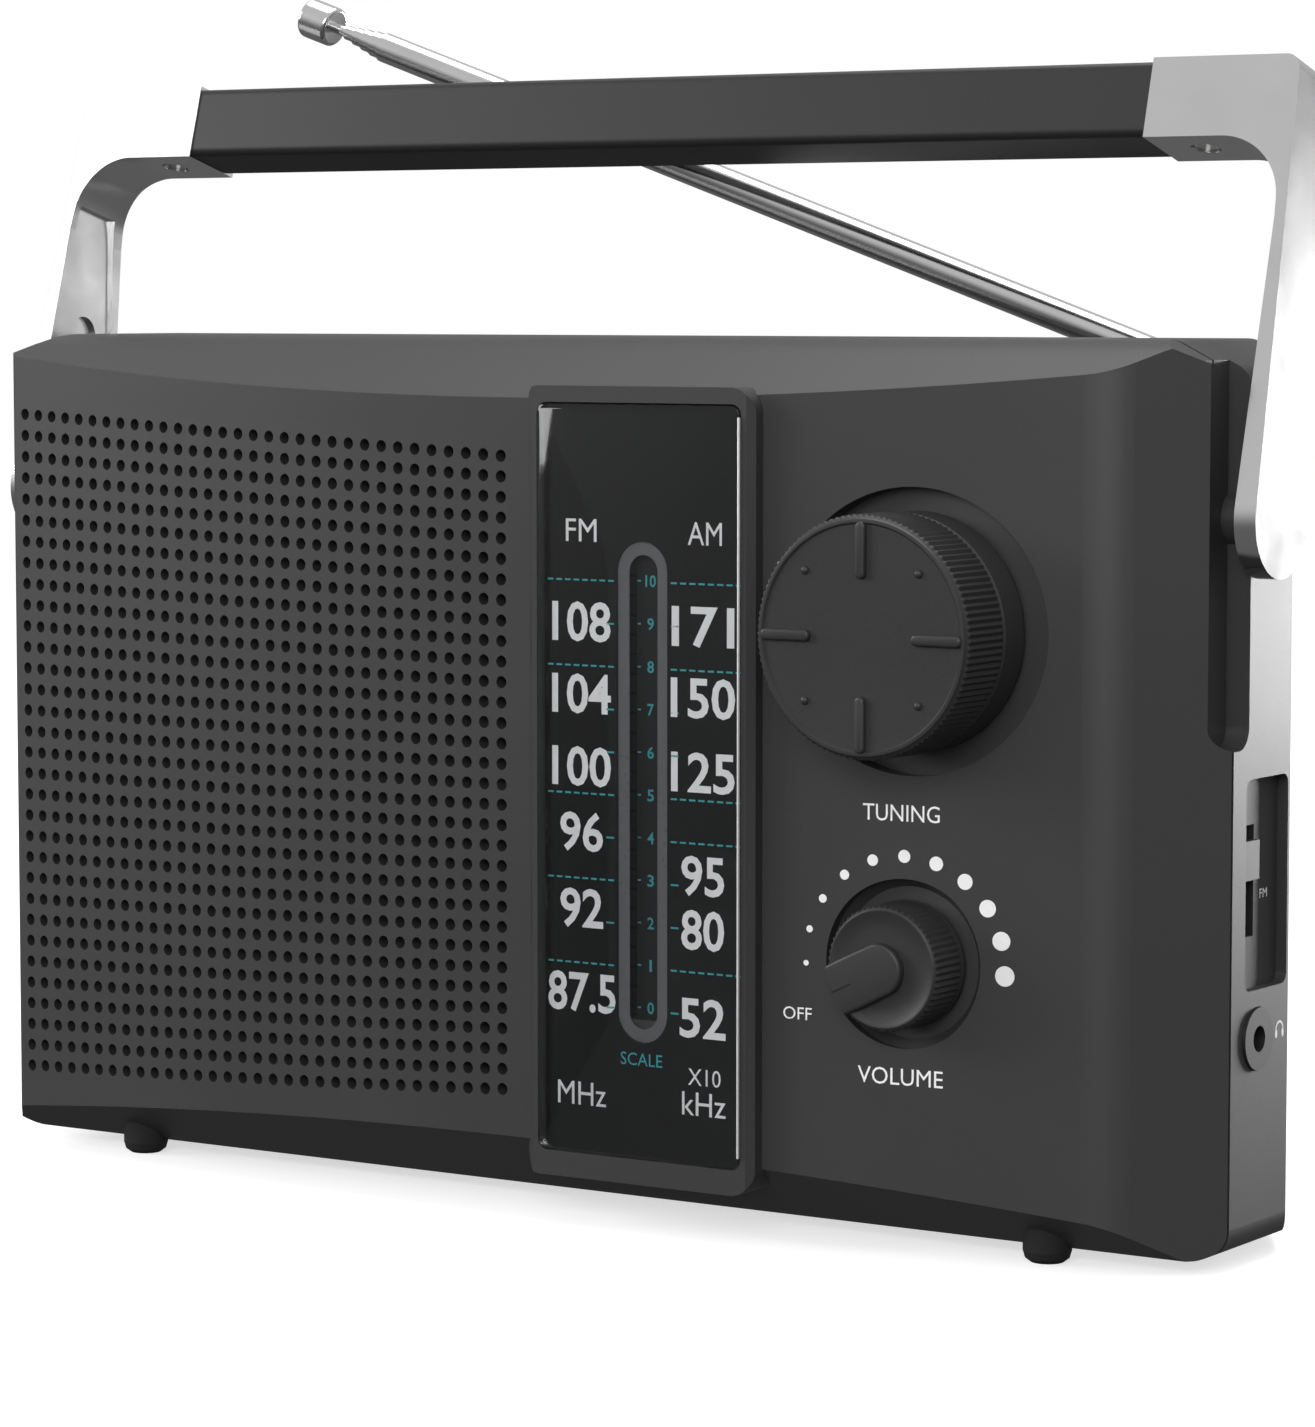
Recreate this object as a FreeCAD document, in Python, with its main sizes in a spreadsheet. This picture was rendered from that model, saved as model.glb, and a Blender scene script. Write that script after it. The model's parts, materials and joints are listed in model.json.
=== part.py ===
import FreeCAD, Part
import math
import os
import re
import Sketcher

# A portable two-band radio with a pull-up carrying handle and a telescopic aerial.
# Frame: X to the right seen from the front, -Y out of the front, Z up from the table, origin on the table
# below the middle of the case. Millimetres and degrees.

SIZES = [
    ("shell_width", 208.0, "case, side to side"),
    ("shell_height", 124.0, "case, bottom to top"),
    ("foot_height", 2.0, "gap below the case"),
    ("shell_wall", 2.2, "wall of both case halves"),
    ("front_edge_y", -21.5, "front surface at the two ends of the case"),
    ("front_bulge", 9.0, "how far the middle of the front stands out beyond its ends"),
    ("seam_y", -13.0, "joint between the case halves"),
    ("rear_y", 30.5, "back of the case"),
    ("bevel_back", 4.9, "start of the top and bottom bevels behind the front edge"),
    ("bevel_drop", 8.5, "height of the top bevel at the middle"),
    ("bevel_rise", 9.6, "height of the bottom bevel at the middle"),
    ("crown_round", 12.0, "rounding where the top bevel meets the top"),
    ("end_bevel_wide", 13.2, "right end bevel along X"),
    ("end_bevel_deep", 10.6, "right end bevel along Y"),
    ("end_round", 13.0, "soft edge of the right end bevel"),
    ("left_corner_wide", 3.4, "left corner along X"),
    ("left_corner_deep", 4.2, "left corner along Y"),
    ("corner_slant_wide", 9.0, "slanted upper corners along X"),
    ("corner_slant_high", 4.5, "slanted upper corners along Z"),
    ("corner_round", 4.0, "rounding of the case corners"),
    ("side_straight_y", 5.1, "end of the straight part of the sides"),
    ("rear_half_width", 88.5, "half width of the back"),
    ("shelf_y", 11.0, "front of the low shelf behind the top"),
    ("shelf_drop", 10.0, "depth of that shelf below the top"),
    ("rear_bevel", 4.0, "bevel round the back"),
    ("reveal_wide", 0.6, "groove at the seam"),
    ("reveal_deep", 0.7, "depth of that groove"),
    ("fit_gap", 0.1, "clearance of pieces that drop into an opening"),
    ("run_gap", 0.05, "radial clearance of turning and sliding pieces"),
    ("bezel_left", 1.2, "dial frame, left side"),
    ("bezel_wide", 39.0, "dial frame width"),
    ("bezel_low", 7.0, "dial frame, lower end"),
    ("bezel_high", 119.3, "dial frame, upper end"),
    ("bezel_face_y", -32.0, "front of the dial frame"),
    ("bezel_bevel", 2.4, "wide bevel on its left side"),
    ("bezel_side", 3.2, "frame left of the window"),
    ("window_wide", 34.0, "dial window width"),
    ("window_low", 10.6, "dial window, lower end"),
    ("window_high", 117.0, "dial window, upper end"),
    ("window_round", 1.6, "corners of the window"),
    ("lens_thick", 1.6, "clear window"),
    ("plate_thick", 1.0, "printed dial plate"),
    ("ledge", 1.6, "ledge that the dial plate rests on"),
    ("channel_x", 21.0, "middle of the pointer channel"),
    ("channel_wide", 8.6, "pointer channel width"),
    ("channel_low", 26.9, "pointer channel, lower end"),
    ("channel_high", 97.7, "pointer channel, upper end"),
    ("strip_wide", 4.6, "scale strip in the channel"),
    ("grille_left", -99.8, "perforated panel, left side"),
    ("grille_right", -0.4, "perforated panel, right side"),
    ("grille_left_low", 10.1, "its corners"),
    ("grille_left_high", 116.1, "its corners"),
    ("grille_right_low", 15.9, "its corners"),
    ("grille_right_high", 111.6, "its corners"),
    ("hole_wide", 1.75, "sound hole"),
    ("hole_margin", 2.4, "sound hole centres from the sides of the panel"),
    ("hole_columns", 32, "sound holes across"),
    ("hole_rows", 32, "sound holes up"),
    ("tuning_x", 62.8, "tuning knob axis"),
    ("tuning_z", 86.4, "tuning knob axis"),
    ("tuning_wide", 33.0, "tuning knob"),
    ("tuning_high", 16.2, "tuning knob, front to back"),
    ("tuning_recess", 39.4, "round recess behind it"),
    ("recess_floor_y", -24.8, "floor of the tuning recess"),
    ("recess_wall", 2.0, "thickness of both recess floors"),
    ("volume_x", 61.8, "volume knob axis"),
    ("volume_z", 40.9, "volume knob axis"),
    ("volume_wide", 17.6, "volume knob"),
    ("volume_high", 9.0, "volume knob, front to back"),
    ("volume_recess", 23.4, "round recess behind it"),
    ("volume_floor_y", -25.2, "floor of the volume recess"),
    ("shaft_wide", 6.0, "control shafts"),
    ("drum_wide", 38.4, "tuning drum groove"),
    ("drum_y", -19.5, "plane of the dial cord"),
    ("idler_wide", 6.0, "idler pulley groove"),
    ("idler_x", 24.0, "idler pulley axis"),
    ("idler_low", 21.0, "lower idler axis height"),
    ("cord_wide", 0.6, "dial cord"),
    ("cord_gap", 0.15, "dial cord clear of its grooves"),
    ("board_left", 3.0, "circuit board, left side"),
    ("board_right", 96.0, "circuit board, right side"),
    ("board_low", 16.0, "circuit board, lower side"),
    ("board_high", 112.0, "circuit board, upper side"),
    ("board_y", -9.5, "circuit board, front face"),
    ("board_thick", 1.6, "circuit board"),
    ("part_high", 7.0, "height of the parts on the board"),
    ("can_side", 9.0, "side of a square tuned-coil can"),
    ("can_left", 10.0, "column of those cans"),
    ("can_low", 72.0, "lowest of them"),
    ("can_pitch", 12.0, "one to the next"),
    ("electrolytic_wide", 8.0, "filter capacitor"),
    ("ferrite_y", 12.0, "ferrite rod axis"),
    ("ferrite_z", 92.0, "ferrite rod axis"),
    ("ferrite_wide", 9.0, "ferrite rod"),
    ("ferrite_left", -60.0, "its left end"),
    ("ferrite_right", 44.0, "its right end"),
    ("coil_left", -18.0, "coil on the rod, left end"),
    ("coil_right", 10.0, "coil on the rod, right end"),
    ("coil_wide", 12.0, "coil on the rod"),
    ("holder_thick", 4.0, "holder of the rod"),
    ("core_x", 76.0, "mains transformer, middle"),
    ("core_y", 12.0, "mains transformer, middle"),
    ("core_wide", 22.0, "its iron core"),
    ("core_deep", 14.0, "its iron core"),
    ("core_low", 40.0, "its lower side"),
    ("core_high", 24.0, "its height"),
    ("rail_x", 15.0, "pointer rail"),
    ("rail_y", -17.0, "pointer rail"),
    ("rail_wide", 2.0, "pointer rail"),
    ("pointer_rest", 29.4, "pointer at the low end of the scale"),
    ("speaker_x", -50.0, "loudspeaker axis"),
    ("speaker_z", 64.0, "loudspeaker axis"),
    ("speaker_wide", 90.0, "loudspeaker flange"),
    ("speaker_y", -20.3, "front of its flange"),
    ("basket_deep", 13.5, "flange to magnet"),
    ("magnet_wide", 44.0, "magnet"),
    ("magnet_deep", 6.0, "magnet"),
    ("post_wide", 8.0, "screw posts"),
    ("cell_wide", 26.2, "battery cell"),
    ("cell_long", 50.0, "battery cell"),
    ("cell_y", 14.6, "plane of the battery cells"),
    ("cell_low", 19.5, "axis of the lower row"),
    ("cell_pitch", 26.8, "row to row"),
    ("cell_gap", 1.0, "between the cells of a row"),
    ("spring_wide", 9.0, "battery spring"),
    ("spring_wire", 0.8, "its wire"),
    ("spring_coils", 3, "its coils"),
    ("door_half", 57.0, "half width of the battery door opening"),
    ("door_low", 6.8, "battery door opening, lower side"),
    ("door_high", 62.0, "battery door opening, upper side"),
    ("door_gap", 0.3, "gap round the battery door"),
    ("pocket_deep", 3.5, "depth of the handle recess in the side"),
    ("pocket_front_y", -15.1, "handle recess, front"),
    ("pocket_rear_y", -7.8, "handle recess, back"),
    ("pocket_low", 70.9, "handle recess, lower end"),
    ("pivot_y", -6.2, "handle pivot"),
    ("pivot_z", 101.9, "handle pivot"),
    ("pivot_pin", 3.5, "handle pin"),
    ("handle_back", 16.0, "backward tilt of the raised handle"),
    ("arm_deep", 16.0, "handle arm below, front to back"),
    ("arm_flare", 25.0, "height on the arm where it starts to grow slimmer"),
    ("corner_deep", 11.2, "handle arm above, front to back"),
    ("arm_rim", 1.3, "rim round the hollow inner face of the arm"),
    ("arm_gap", 0.5, "from the case side to the inner face of the arm below"),
    ("arm_lean", 0.2, "inner face of the arm above, inwards of the case side"),
    ("arm_thick", 3.2, "handle arm below, side to side"),
    ("arm_top_gap", 1.2, "from the case side to the outer face of the arm above"),
    ("arm_bend", 40.0, "height on the arm where its inner face leans in"),
    ("bar_low", 51.4, "underside of the bar above the pivot"),
    ("bar_high", 62.8, "top of the bar above the pivot"),
    ("inner_fillet", 9.5, "inside corner of the arm"),
    ("bar_shift", -2.4, "middle of the bar in front of the line through the pivot"),
    ("corner_long", 21.0, "from the end of the black grip to the case side"),
    ("grip_deep", 10.8, "black grip, front to back"),
    ("tongue_wide", 6.0, "tongue of the grip in the arm ends"),
    ("tongue_long", 14.0, "tongue of the grip in the arm ends"),
    ("shoe_thick", 1.0, "guide shoe"),
    ("shoe_wide", 6.0, "guide shoe"),
    ("handle_travel", 24.0, "slide of the handle"),
    ("switch_front_y", -8.4, "band switch window, front"),
    ("switch_rear_y", 4.5, "band switch window, back"),
    ("switch_low", 37.9, "band switch window, lower end"),
    ("switch_high", 66.8, "band switch window, upper end"),
    ("switch_deep", 1.6, "depth of that window"),
    ("slot_front_y", -7.8, "band switch slot, front"),
    ("slot_wide", 5.0, "band switch slot"),
    ("slot_low", 45.0, "band switch slot, lower end"),
    ("slot_high", 60.3, "band switch slot, upper end"),
    ("slider_low", 52.9, "band switch button, lower end"),
    ("slider_high", 58.3, "band switch button, upper end"),
    ("jack_y", -4.5, "headphone socket"),
    ("jack_z", 31.2, "headphone socket"),
    ("jack_bore", 3.6, "headphone socket bore"),
    ("jack_wide", 8.8, "headphone socket ring"),
    ("inlet_x", 75.0, "mains inlet"),
    ("inlet_z", 26.0, "mains inlet"),
    ("inlet_wide", 14.0, "mains inlet"),
    ("inlet_high", 9.0, "mains inlet"),
    ("aerial_x", 81.0, "aerial swivel"),
    ("aerial_y", 20.0, "aerial swivel"),
    ("aerial_lift", 5.5, "elbow above the shelf"),
    ("aerial_rest", 19.2, "elevation of the aerial"),
    ("aerial_long", 142.5, "main tube"),
    ("aerial_start", 6.5, "main tube from the elbow"),
    ("aerial_wide", 4.6, "main tube"),
    ("aerial_step", 0.6, "each section thinner than the last"),
    ("aerial_wall", 0.25, "wall of the tubes"),
    ("step_out", 1.9, "what each closed section shows"),
    ("cap_wide", 6.2, "tip cap"),
    ("cap_long", 5.5, "tip cap"),
    ("foot_wide", 6.8, "rubber foot"),
    ("foot_x", 79.0, "feet from the middle"),
    ("front_foot_y", -17.5, "front feet"),
    ("rear_foot_y", 21.0, "rear feet"),
]

doc = FreeCAD.newDocument("portable_radio")
sheet = doc.addObject("Spreadsheet::Sheet", "Sizes")
for row, (alias, number, note) in enumerate(SIZES, start=1):
    sheet.set(f"A{row}", alias)
    sheet.set(f"B{row}", str(number))
    sheet.setAlias(f"B{row}", alias)
    sheet.set(f"C{row}", note)
doc.recompute()

ALIASES = {alias for alias, number, note in SIZES}
nodes = []


# ---- tools for bound objects ----

def expand(rule):
    """Turns a rule written with aliases into an expression on the sheet."""
    return re.sub(r"[a-z][a-z0-9_]*", lambda word: "Sizes." + word[0] if word[0] in ALIASES else word[0],
                  str(rule))


def value(rule):
    return float(sheet.evalExpression(expand(rule)))


def bind(piece, prop, rule):
    piece.setExpression(prop, expand(rule))


def place(piece, x="0", y="0", z="0"):
    for axis, rule in (("x", x), ("y", y), ("z", z)):
        if str(rule) != "0":
            bind(piece, "Placement.Base." + axis, rule)


TURNS = {
    "+Z": FreeCAD.Rotation(),
    "-Z": FreeCAD.Rotation(FreeCAD.Vector(1, 0, 0), 180),
    "+X": FreeCAD.Rotation(FreeCAD.Vector(0, 1, 0), 90),
    "-X": FreeCAD.Rotation(FreeCAD.Vector(0, 1, 0), -90),
    "+Y": FreeCAD.Rotation(FreeCAD.Vector(1, 0, 0), -90),
    "-Y": FreeCAD.Rotation(FreeCAD.Vector(1, 0, 0), 90),
}


def turn(piece, direction):
    piece.Placement = FreeCAD.Placement(FreeCAD.Vector(), TURNS[direction])


def block(name, x, y, z):
    """A box from three (low, high) pairs of rules."""
    piece = doc.addObject("Part::Box", name)
    for prop, (low, high) in (("Length", x), ("Width", y), ("Height", z)):
        bind(piece, prop, f"({high}) - ({low})")
    place(piece, x[0], y[0], z[0])
    return piece


def rod(name, axis, at, low, high, wide):
    """A round bar along X, Y or Z; at holds the rules of its other two coordinates in order."""
    piece = doc.addObject("Part::Cylinder", name)
    turn(piece, "+" + axis)
    bind(piece, "Radius", f"({wide}) / 2")
    bind(piece, "Height", f"({high}) - ({low})")
    spot = list(at)
    spot.insert("XYZ".index(axis), low)
    place(piece, *spot)
    return piece


def fuse(name, *pieces):
    piece = doc.addObject("Part::MultiFuse", name)
    piece.Shapes = list(pieces)
    return piece


def common(name, *pieces):
    piece = doc.addObject("Part::MultiCommon", name)
    piece.Shapes = list(pieces)
    return piece


def cut(name, base, *tools):
    piece = doc.addObject("Part::Cut", name)
    piece.Base = base
    piece.Tool = tools[0] if len(tools) == 1 else fuse(name + "_tools", *tools)
    return piece


def soften(name, base, radius, chosen):
    """Rounds the edges of base that the function chosen picks."""
    doc.recompute()
    size = value(radius)
    numbers = [i for i, edge in enumerate(base.Shape.Edges, start=1) if chosen(edge)]
    if not numbers:
        raise ValueError(name + " found no edge to round")
    piece = doc.addObject("Part::Fillet", name)
    piece.Base = base
    piece.Edges = [(i, size, size) for i in numbers]
    return piece


def along(axis):
    """Chooses the straight edges that run along an axis."""
    def chosen(edge):
        ends = [vertex.Point for vertex in edge.Vertexes]
        if len(ends) != 2:
            return False
        step = ends[1] - ends[0]
        size = abs(step["XYZ".index(axis)])
        return size > 0.999 * step.Length
    return chosen


def draw(sketch, points):
    """A closed outline whose corners are bound to rules."""
    flat = [(value(u), value(w)) for u, w in points]
    count = len(flat)
    lines = []
    for i, start in enumerate(flat):
        end = flat[(i + 1) % count]
        lines.append(Part.LineSegment(FreeCAD.Vector(*start, 0), FreeCAD.Vector(*end, 0)))
    sketch.addGeometry(lines, False)
    for i in range(count):
        sketch.addConstraint(Sketcher.Constraint("Coincident", i, 2, (i + 1) % count, 1))
    for i, rules in enumerate(points):
        for kind, axis, rule, number in zip(("DistanceX", "DistanceY"), (-2, -1), rules, flat[i]):
            if str(rule) == "0":
                sketch.addConstraint(Sketcher.Constraint("PointOnObject", i, 1, axis))
            else:
                index = sketch.addConstraint(Sketcher.Constraint(kind, i, 1, number))
                sketch.setExpression(f"Constraints[{index}]", expand(rule))


def outlined(name, plane, points):
    body = doc.addObject("PartDesign::Body", name)
    sketch = body.newObject("Sketcher::SketchObject", name + "_outline")
    origin_plane = next(item for item in body.Origin.OriginFeatures if item.Role == plane + "_Plane")
    sketch.AttachmentSupport = [(origin_plane, "")]
    sketch.MapMode = "FlatFace"
    draw(sketch, points)
    return body, sketch


def slab(name, plane, points, low, high):
    """An outline in the XY, XZ or YZ plane, extruded from low to high along the third axis."""
    body, sketch = outlined(name, plane, points)
    pad = body.newObject("PartDesign::Pad", name + "_pad")
    pad.Profile = sketch
    bind(pad, "Length", f"({high}) - ({low})")
    if plane == "XZ":
        place(body, y=high)
    elif plane == "YZ":
        place(body, x=low)
    else:
        place(body, z=low)
    return body


def turned(name, direction, spot, points):
    """A body of revolution from (radius, distance along the axis) corners."""
    body, sketch = outlined(name, "XZ", points)
    turn(body, direction)
    spin = body.newObject("PartDesign::Revolution", name + "_turning")
    spin.Profile = sketch
    spin.ReferenceAxis = (sketch, ["V_Axis"])
    spin.Angle = 360
    place(body, *spot)
    return body


def node(piece, name=None):
    """Marks a piece as a finished sub-part."""
    piece.Label = name or piece.Name
    nodes.append(piece)
    return piece


# ---- rules that several pieces share ----

HALF = "shell_width / 2"
LOW = "foot_height"
TOP = "(foot_height + shell_height)"
POCKET_FLOOR = f"({HALF} - pocket_deep)"
ARM_INNER = f"({HALF} + arm_gap)"
ARM_INNER_TOP = f"({HALF} - arm_lean)"
ARM_OUTER = f"({ARM_INNER} + arm_thick)"
ARM_OUTER_TOP = f"({HALF} + arm_top_gap)"
GRIP_HALF = f"({HALF} - corner_long)"
SHELF = f"({TOP} - shelf_drop)"
BEVEL_RUN = "(bevel_back + front_bulge)"
BEVEL_Y = "(front_edge_y + bevel_back)"
ARC_RADIUS = "(((shell_width / 2)^2 + front_bulge^2) / (2 * front_bulge))"
TAPER = "((shell_width / 2 - rear_half_width) / (rear_y - side_straight_y))"
WINDOW_LEFT = "(bezel_left + bezel_side)"
WINDOW_RIGHT = "(bezel_left + bezel_side + window_wide)"
LENS_BACK = "(bezel_face_y + lens_thick)"
PLATE_BACK = "(bezel_face_y + lens_thick + plate_thick)"
BOARD_BACK = "(board_y + board_thick)"
REACH = 3


def rounded_block(name, inset, low_y, high_y):
    """The case seen from the front: upper corners slanted, every corner rounded."""
    side = f"(shell_width / 2 - {inset})"
    slant = f"(shell_width / 2 - {inset} - corner_slant_wide)"
    low = f"({LOW} + {inset})"
    high = f"({TOP} - {inset})"
    bend = f"({TOP} - {inset} - corner_slant_high)"
    points = [(f"-{side}", low), (side, low), (side, bend), (slant, high), (f"-{slant}", high),
              (f"-{side}", bend)]
    outline = slab(name + "_slab", "XZ", points, low_y, high_y)
    return soften(name, outline, f"corner_round - {inset} * 0.8", along("Y"))


def front_form(name, inset, soft):
    """The front half as a solid, moved in by inset on every side."""
    end_stretch = "sqrt(end_bevel_wide^2 + end_bevel_deep^2) / end_bevel_deep"
    left_stretch = "sqrt(left_corner_wide^2 + left_corner_deep^2) / left_corner_wide"
    bevel_stretch = f"sqrt({BEVEL_RUN}^2 + bevel_drop^2) / {BEVEL_RUN}"
    left = f"(-shell_width / 2 + {inset})"
    left_y = f"(front_edge_y + left_corner_deep + {inset} * ({left_stretch} - 1))"
    right = f"(shell_width / 2 - {inset} * {end_stretch})"
    plan_points = [
        (left, "seam_y"),
        (left, left_y),
        (f"{left} + {REACH} * left_corner_wide", f"{left_y} - {REACH} * left_corner_deep"),
        (f"{right} - {REACH} * end_bevel_wide", f"seam_y - {REACH} * end_bevel_deep"),
        (right, "seam_y"),
    ]
    plan = slab(name + "_plan", "XY", plan_points, 0, f"{TOP} + {REACH}")
    arc_middle = f"front_edge_y - front_bulge + {ARC_RADIUS}"
    arc = rod(name + "_arc", "Z", ("0", arc_middle), 0, f"{TOP} + {REACH}", f"2 * ({ARC_RADIUS} - {inset})")
    view = common(name + "_view", plan, arc)
    if soft:
        view = soften(name + "_ends", view, "end_round", lambda edge: along("Z")(edge)
                      and 0.6 * value(HALF) < edge.Vertexes[0].X < 0.98 * value(HALF))
        view = soften(name + "_left_end", view, "left_corner_wide / 2", lambda edge: along("Z")(edge)
                      and edge.Vertexes[0].X < -0.9 * value(HALF)
                      and edge.Vertexes[0].Y < value("seam_y - 1"))
    high = f"({TOP} - {inset})"
    low = f"({LOW} + {inset})"
    bevel_high = f"({TOP} - {inset} * {bevel_stretch})"
    bevel_low = f"({LOW} + {inset} * {bevel_stretch})"
    side_points = [
        ("seam_y", low),
        (BEVEL_Y, low),
        (BEVEL_Y, bevel_low),
        (f"{BEVEL_Y} - 2 * {BEVEL_RUN}", f"{bevel_low} + 2 * bevel_rise"),
        (f"{BEVEL_Y} - 2 * {BEVEL_RUN}", f"{bevel_high} - 2 * bevel_drop"),
        (BEVEL_Y, bevel_high),
        (BEVEL_Y, high),
        ("seam_y", high),
    ]
    if soft:
        side_points = [side_points[i] for i in (0, 1, 3, 4, 6, 7)]
    side = slab(name + "_side", "YZ", side_points, f"-{HALF} - {REACH}", f"{HALF} + {REACH}")
    if soft:
        side = soften(name + "_crown", side, "crown_round", lambda edge: along("X")(edge)
                      and edge.Vertexes[0].Z > value(f"{TOP} - 0.1")
                      and edge.Vertexes[0].Y < value("seam_y - 1"))
    corners = rounded_block(name + "_corners", inset, "front_edge_y - 3 * front_bulge", "seam_y")
    return common(name, view, side, corners)


def rear_form(name, inset):
    """The rear half as a solid, moved in by inset on every side."""
    stretch = f"{inset} * sqrt(1 + {TAPER}^2)"
    wide = f"({HALF} - {stretch})"
    narrow = f"(rear_half_width - {stretch} + {TAPER} * {inset})"
    back = f"(rear_y - {inset})"
    plan_points = [
        (f"-{wide}", "seam_y"), (wide, "seam_y"), (wide, "side_straight_y"),
        (narrow, back), (f"-{narrow}", back), (f"-{wide}", "side_straight_y"),
    ]
    plan = slab(name + "_plan", "XY", plan_points, 0, f"{TOP} + {REACH}")
    low = f"({LOW} + {inset})"
    high = f"({TOP} - {inset})"
    shelf = f"({SHELF} - {inset})"
    step = f"(shelf_y - {inset})"
    side_points = [
        ("seam_y", low), (f"{back} - rear_bevel", low), (back, f"{low} + rear_bevel"),
        (back, f"{shelf} - rear_bevel"), (f"{back} - rear_bevel", shelf), (step, shelf),
        (step, high), ("seam_y", high),
    ]
    side = slab(name + "_side", "YZ", side_points, f"-{HALF} - {REACH}", f"{HALF} + {REACH}")
    corners = rounded_block(name + "_corners", inset, "seam_y", "rear_y + 1")
    return common(name, plan, side, corners)


# ---- handle recesses in both sides of the case ----

def side_recess(name, inset):
    """Both handle recesses; inset grows them by a wall for the liner inside."""
    halves = []
    for side, sign in (("right", 1), ("left", -1)):
        inner = f"{POCKET_FLOOR} - {inset}"
        outer = f"{HALF} + {REACH}"
        x = (inner, outer) if sign == 1 else (f"-({outer})", f"-({inner})")
        y = (f"pocket_front_y - {inset}", f"pocket_rear_y + {inset}")
        z = (f"pocket_low - {inset}", f"{TOP} + {REACH}")
        raw = block(f"{name}_{side}_block", x, y, z)
        halves.append(soften(f"{name}_{side}", raw, "shell_wall * 1.4", lambda edge: along("X")(edge)
                             and edge.Vertexes[0].Z < value("pocket_low + 1")))
    return fuse(name, *halves)


recess = side_recess("handle_recess", "0")
liner = side_recess("recess_liner", "shell_wall")
front_outer = front_form("front_outer", "0", True)
front_inner = front_form("front_inner", "shell_wall", False)
rear_outer = rear_form("rear_outer", "0")

# ---- places of the four screw posts, and of the board posts ----

PART_TOP = "(board_y + board_thick + part_high)"
ELECTROLYTICS = [("28", "76"), ("28", "90"), ("70", "30"), ("80", "76")]
CASE_POSTS = [("-84", "110"), ("50", "112"), ("-84", "12"), ("84", "12")]
BOARD_POSTS = [("44", "24"), ("88", "24"), ("88", "62"), ("44", "62")]


# ---- front shell ----

def front_shell():
    cavity = cut("front_cavity", front_inner, liner)
    bezel_right = "(bezel_left + bezel_wide)"
    plan = [
        ("bezel_left", "front_edge_y"),
        ("bezel_left", "bezel_face_y + bezel_bevel"),
        ("bezel_left + bezel_bevel", "bezel_face_y"),
        (f"{bezel_right} - 1", "bezel_face_y"),
        (bezel_right, "bezel_face_y + 1"),
        (bezel_right, "front_edge_y"),
    ]
    raised = slab("bezel_raised", "XY", plan, "bezel_low", "bezel_high")
    frame = block("bezel_block", ("bezel_left", bezel_right), ("bezel_face_y", "front_edge_y"),
                  ("bezel_low", "bezel_high"))
    frame = soften("bezel_corners", frame, "3.5", along("Y"))
    bezel = common("bezel", raised, frame)
    posts = []
    for i, (x, z) in enumerate(CASE_POSTS):
        posts.append(rod(f"front_post_{i}", "Y", (x, z), "bezel_face_y", "seam_y", "post_wide"))
    for i, (x, z) in enumerate(BOARD_POSTS):
        posts.append(rod(f"board_post_{i}", "Y", (x, z), "bezel_face_y", "board_y", "post_wide * 0.75"))
    posts.append(rod("tuning_boss", "Y", ("tuning_x", "tuning_z"), "bezel_face_y",
                     "recess_floor_y + recess_wall", "tuning_recess + 2 * shell_wall"))
    posts.append(rod("volume_boss", "Y", ("volume_x", "volume_z"), "bezel_face_y",
                     "volume_floor_y + recess_wall", "volume_recess + 2 * shell_wall"))
    inside = block("front_side_limit", (f"-{HALF}", HALF), ("bezel_face_y", "board_y"), (LOW, TOP))
    stretched = fuse("front_outer_long", front_outer, block("behind_seam", ("0", "board_right"),
                                                            ("seam_y", "board_y"),
                                                      ("board_low", "board_high")))
    supports = common("front_supports", fuse("front_posts", *posts), stretched, inside)
    hollow = cut("front_hollow", fuse("front_raised", front_outer, bezel), cavity)
    whole = fuse("front_whole", hollow, supports)
    openings = [
        recess,
        rod("tuning_recess_cut", "Y", ("tuning_x", "tuning_z"), "bezel_face_y - 1", "recess_floor_y",
            "tuning_recess"),
        rod("tuning_hole", "Y", ("tuning_x", "tuning_z"), "bezel_face_y", "seam_y", "shaft_wide + 4"),
        turned("volume_recess_cut", "-Y", ("volume_x", "volume_floor_y", "volume_z"),
               [("0", "0"), ("volume_recess / 2 - 1.2", "0"), ("volume_recess / 2", "1.4"),
                ("volume_recess / 2", "12"), ("0", "12")]),
        rod("volume_hole", "Y", ("volume_x", "volume_z"), "bezel_face_y", "seam_y", "shaft_wide + 3"),
        window("window_front", "0", "bezel_face_y - 1", PLATE_BACK),
        window("window_rear", "ledge", "bezel_face_y - 1", "seam_y"),
        grille_outline("grille_opening", "bezel_face_y", "seam_y"),
    ]
    for i, (x, z) in enumerate(CASE_POSTS):
        openings.append(rod(f"screw_hole_{i}", "Y", (x, z), "seam_y - 7.5", "seam_y", "2.5"))
    for i, (x, z) in enumerate(BOARD_POSTS):
        openings.append(rod(f"board_hole_{i}", "Y", (x, z), "board_y - 6.5", "board_y", "2"))
    return node(cut("front_shell", whole, *openings))


def window(name, inset, low_y, high_y):
    """A block of the dial window's outline."""
    raw = block(name + "_block", (f"{WINDOW_LEFT} + {inset}", f"{WINDOW_RIGHT} - {inset}"), (low_y, high_y),
                (f"window_low + {inset}", f"window_high - {inset}"))
    return soften(name, raw, "window_round", along("Y"))


def grille_outline(name, low_y, high_y):
    points = [
        ("grille_left", "grille_left_low"), ("grille_right", "grille_right_low"),
        ("grille_right", "grille_right_high"), ("grille_left", "grille_left_high"),
    ]
    return slab(name, "XZ", points, low_y, high_y)


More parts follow.
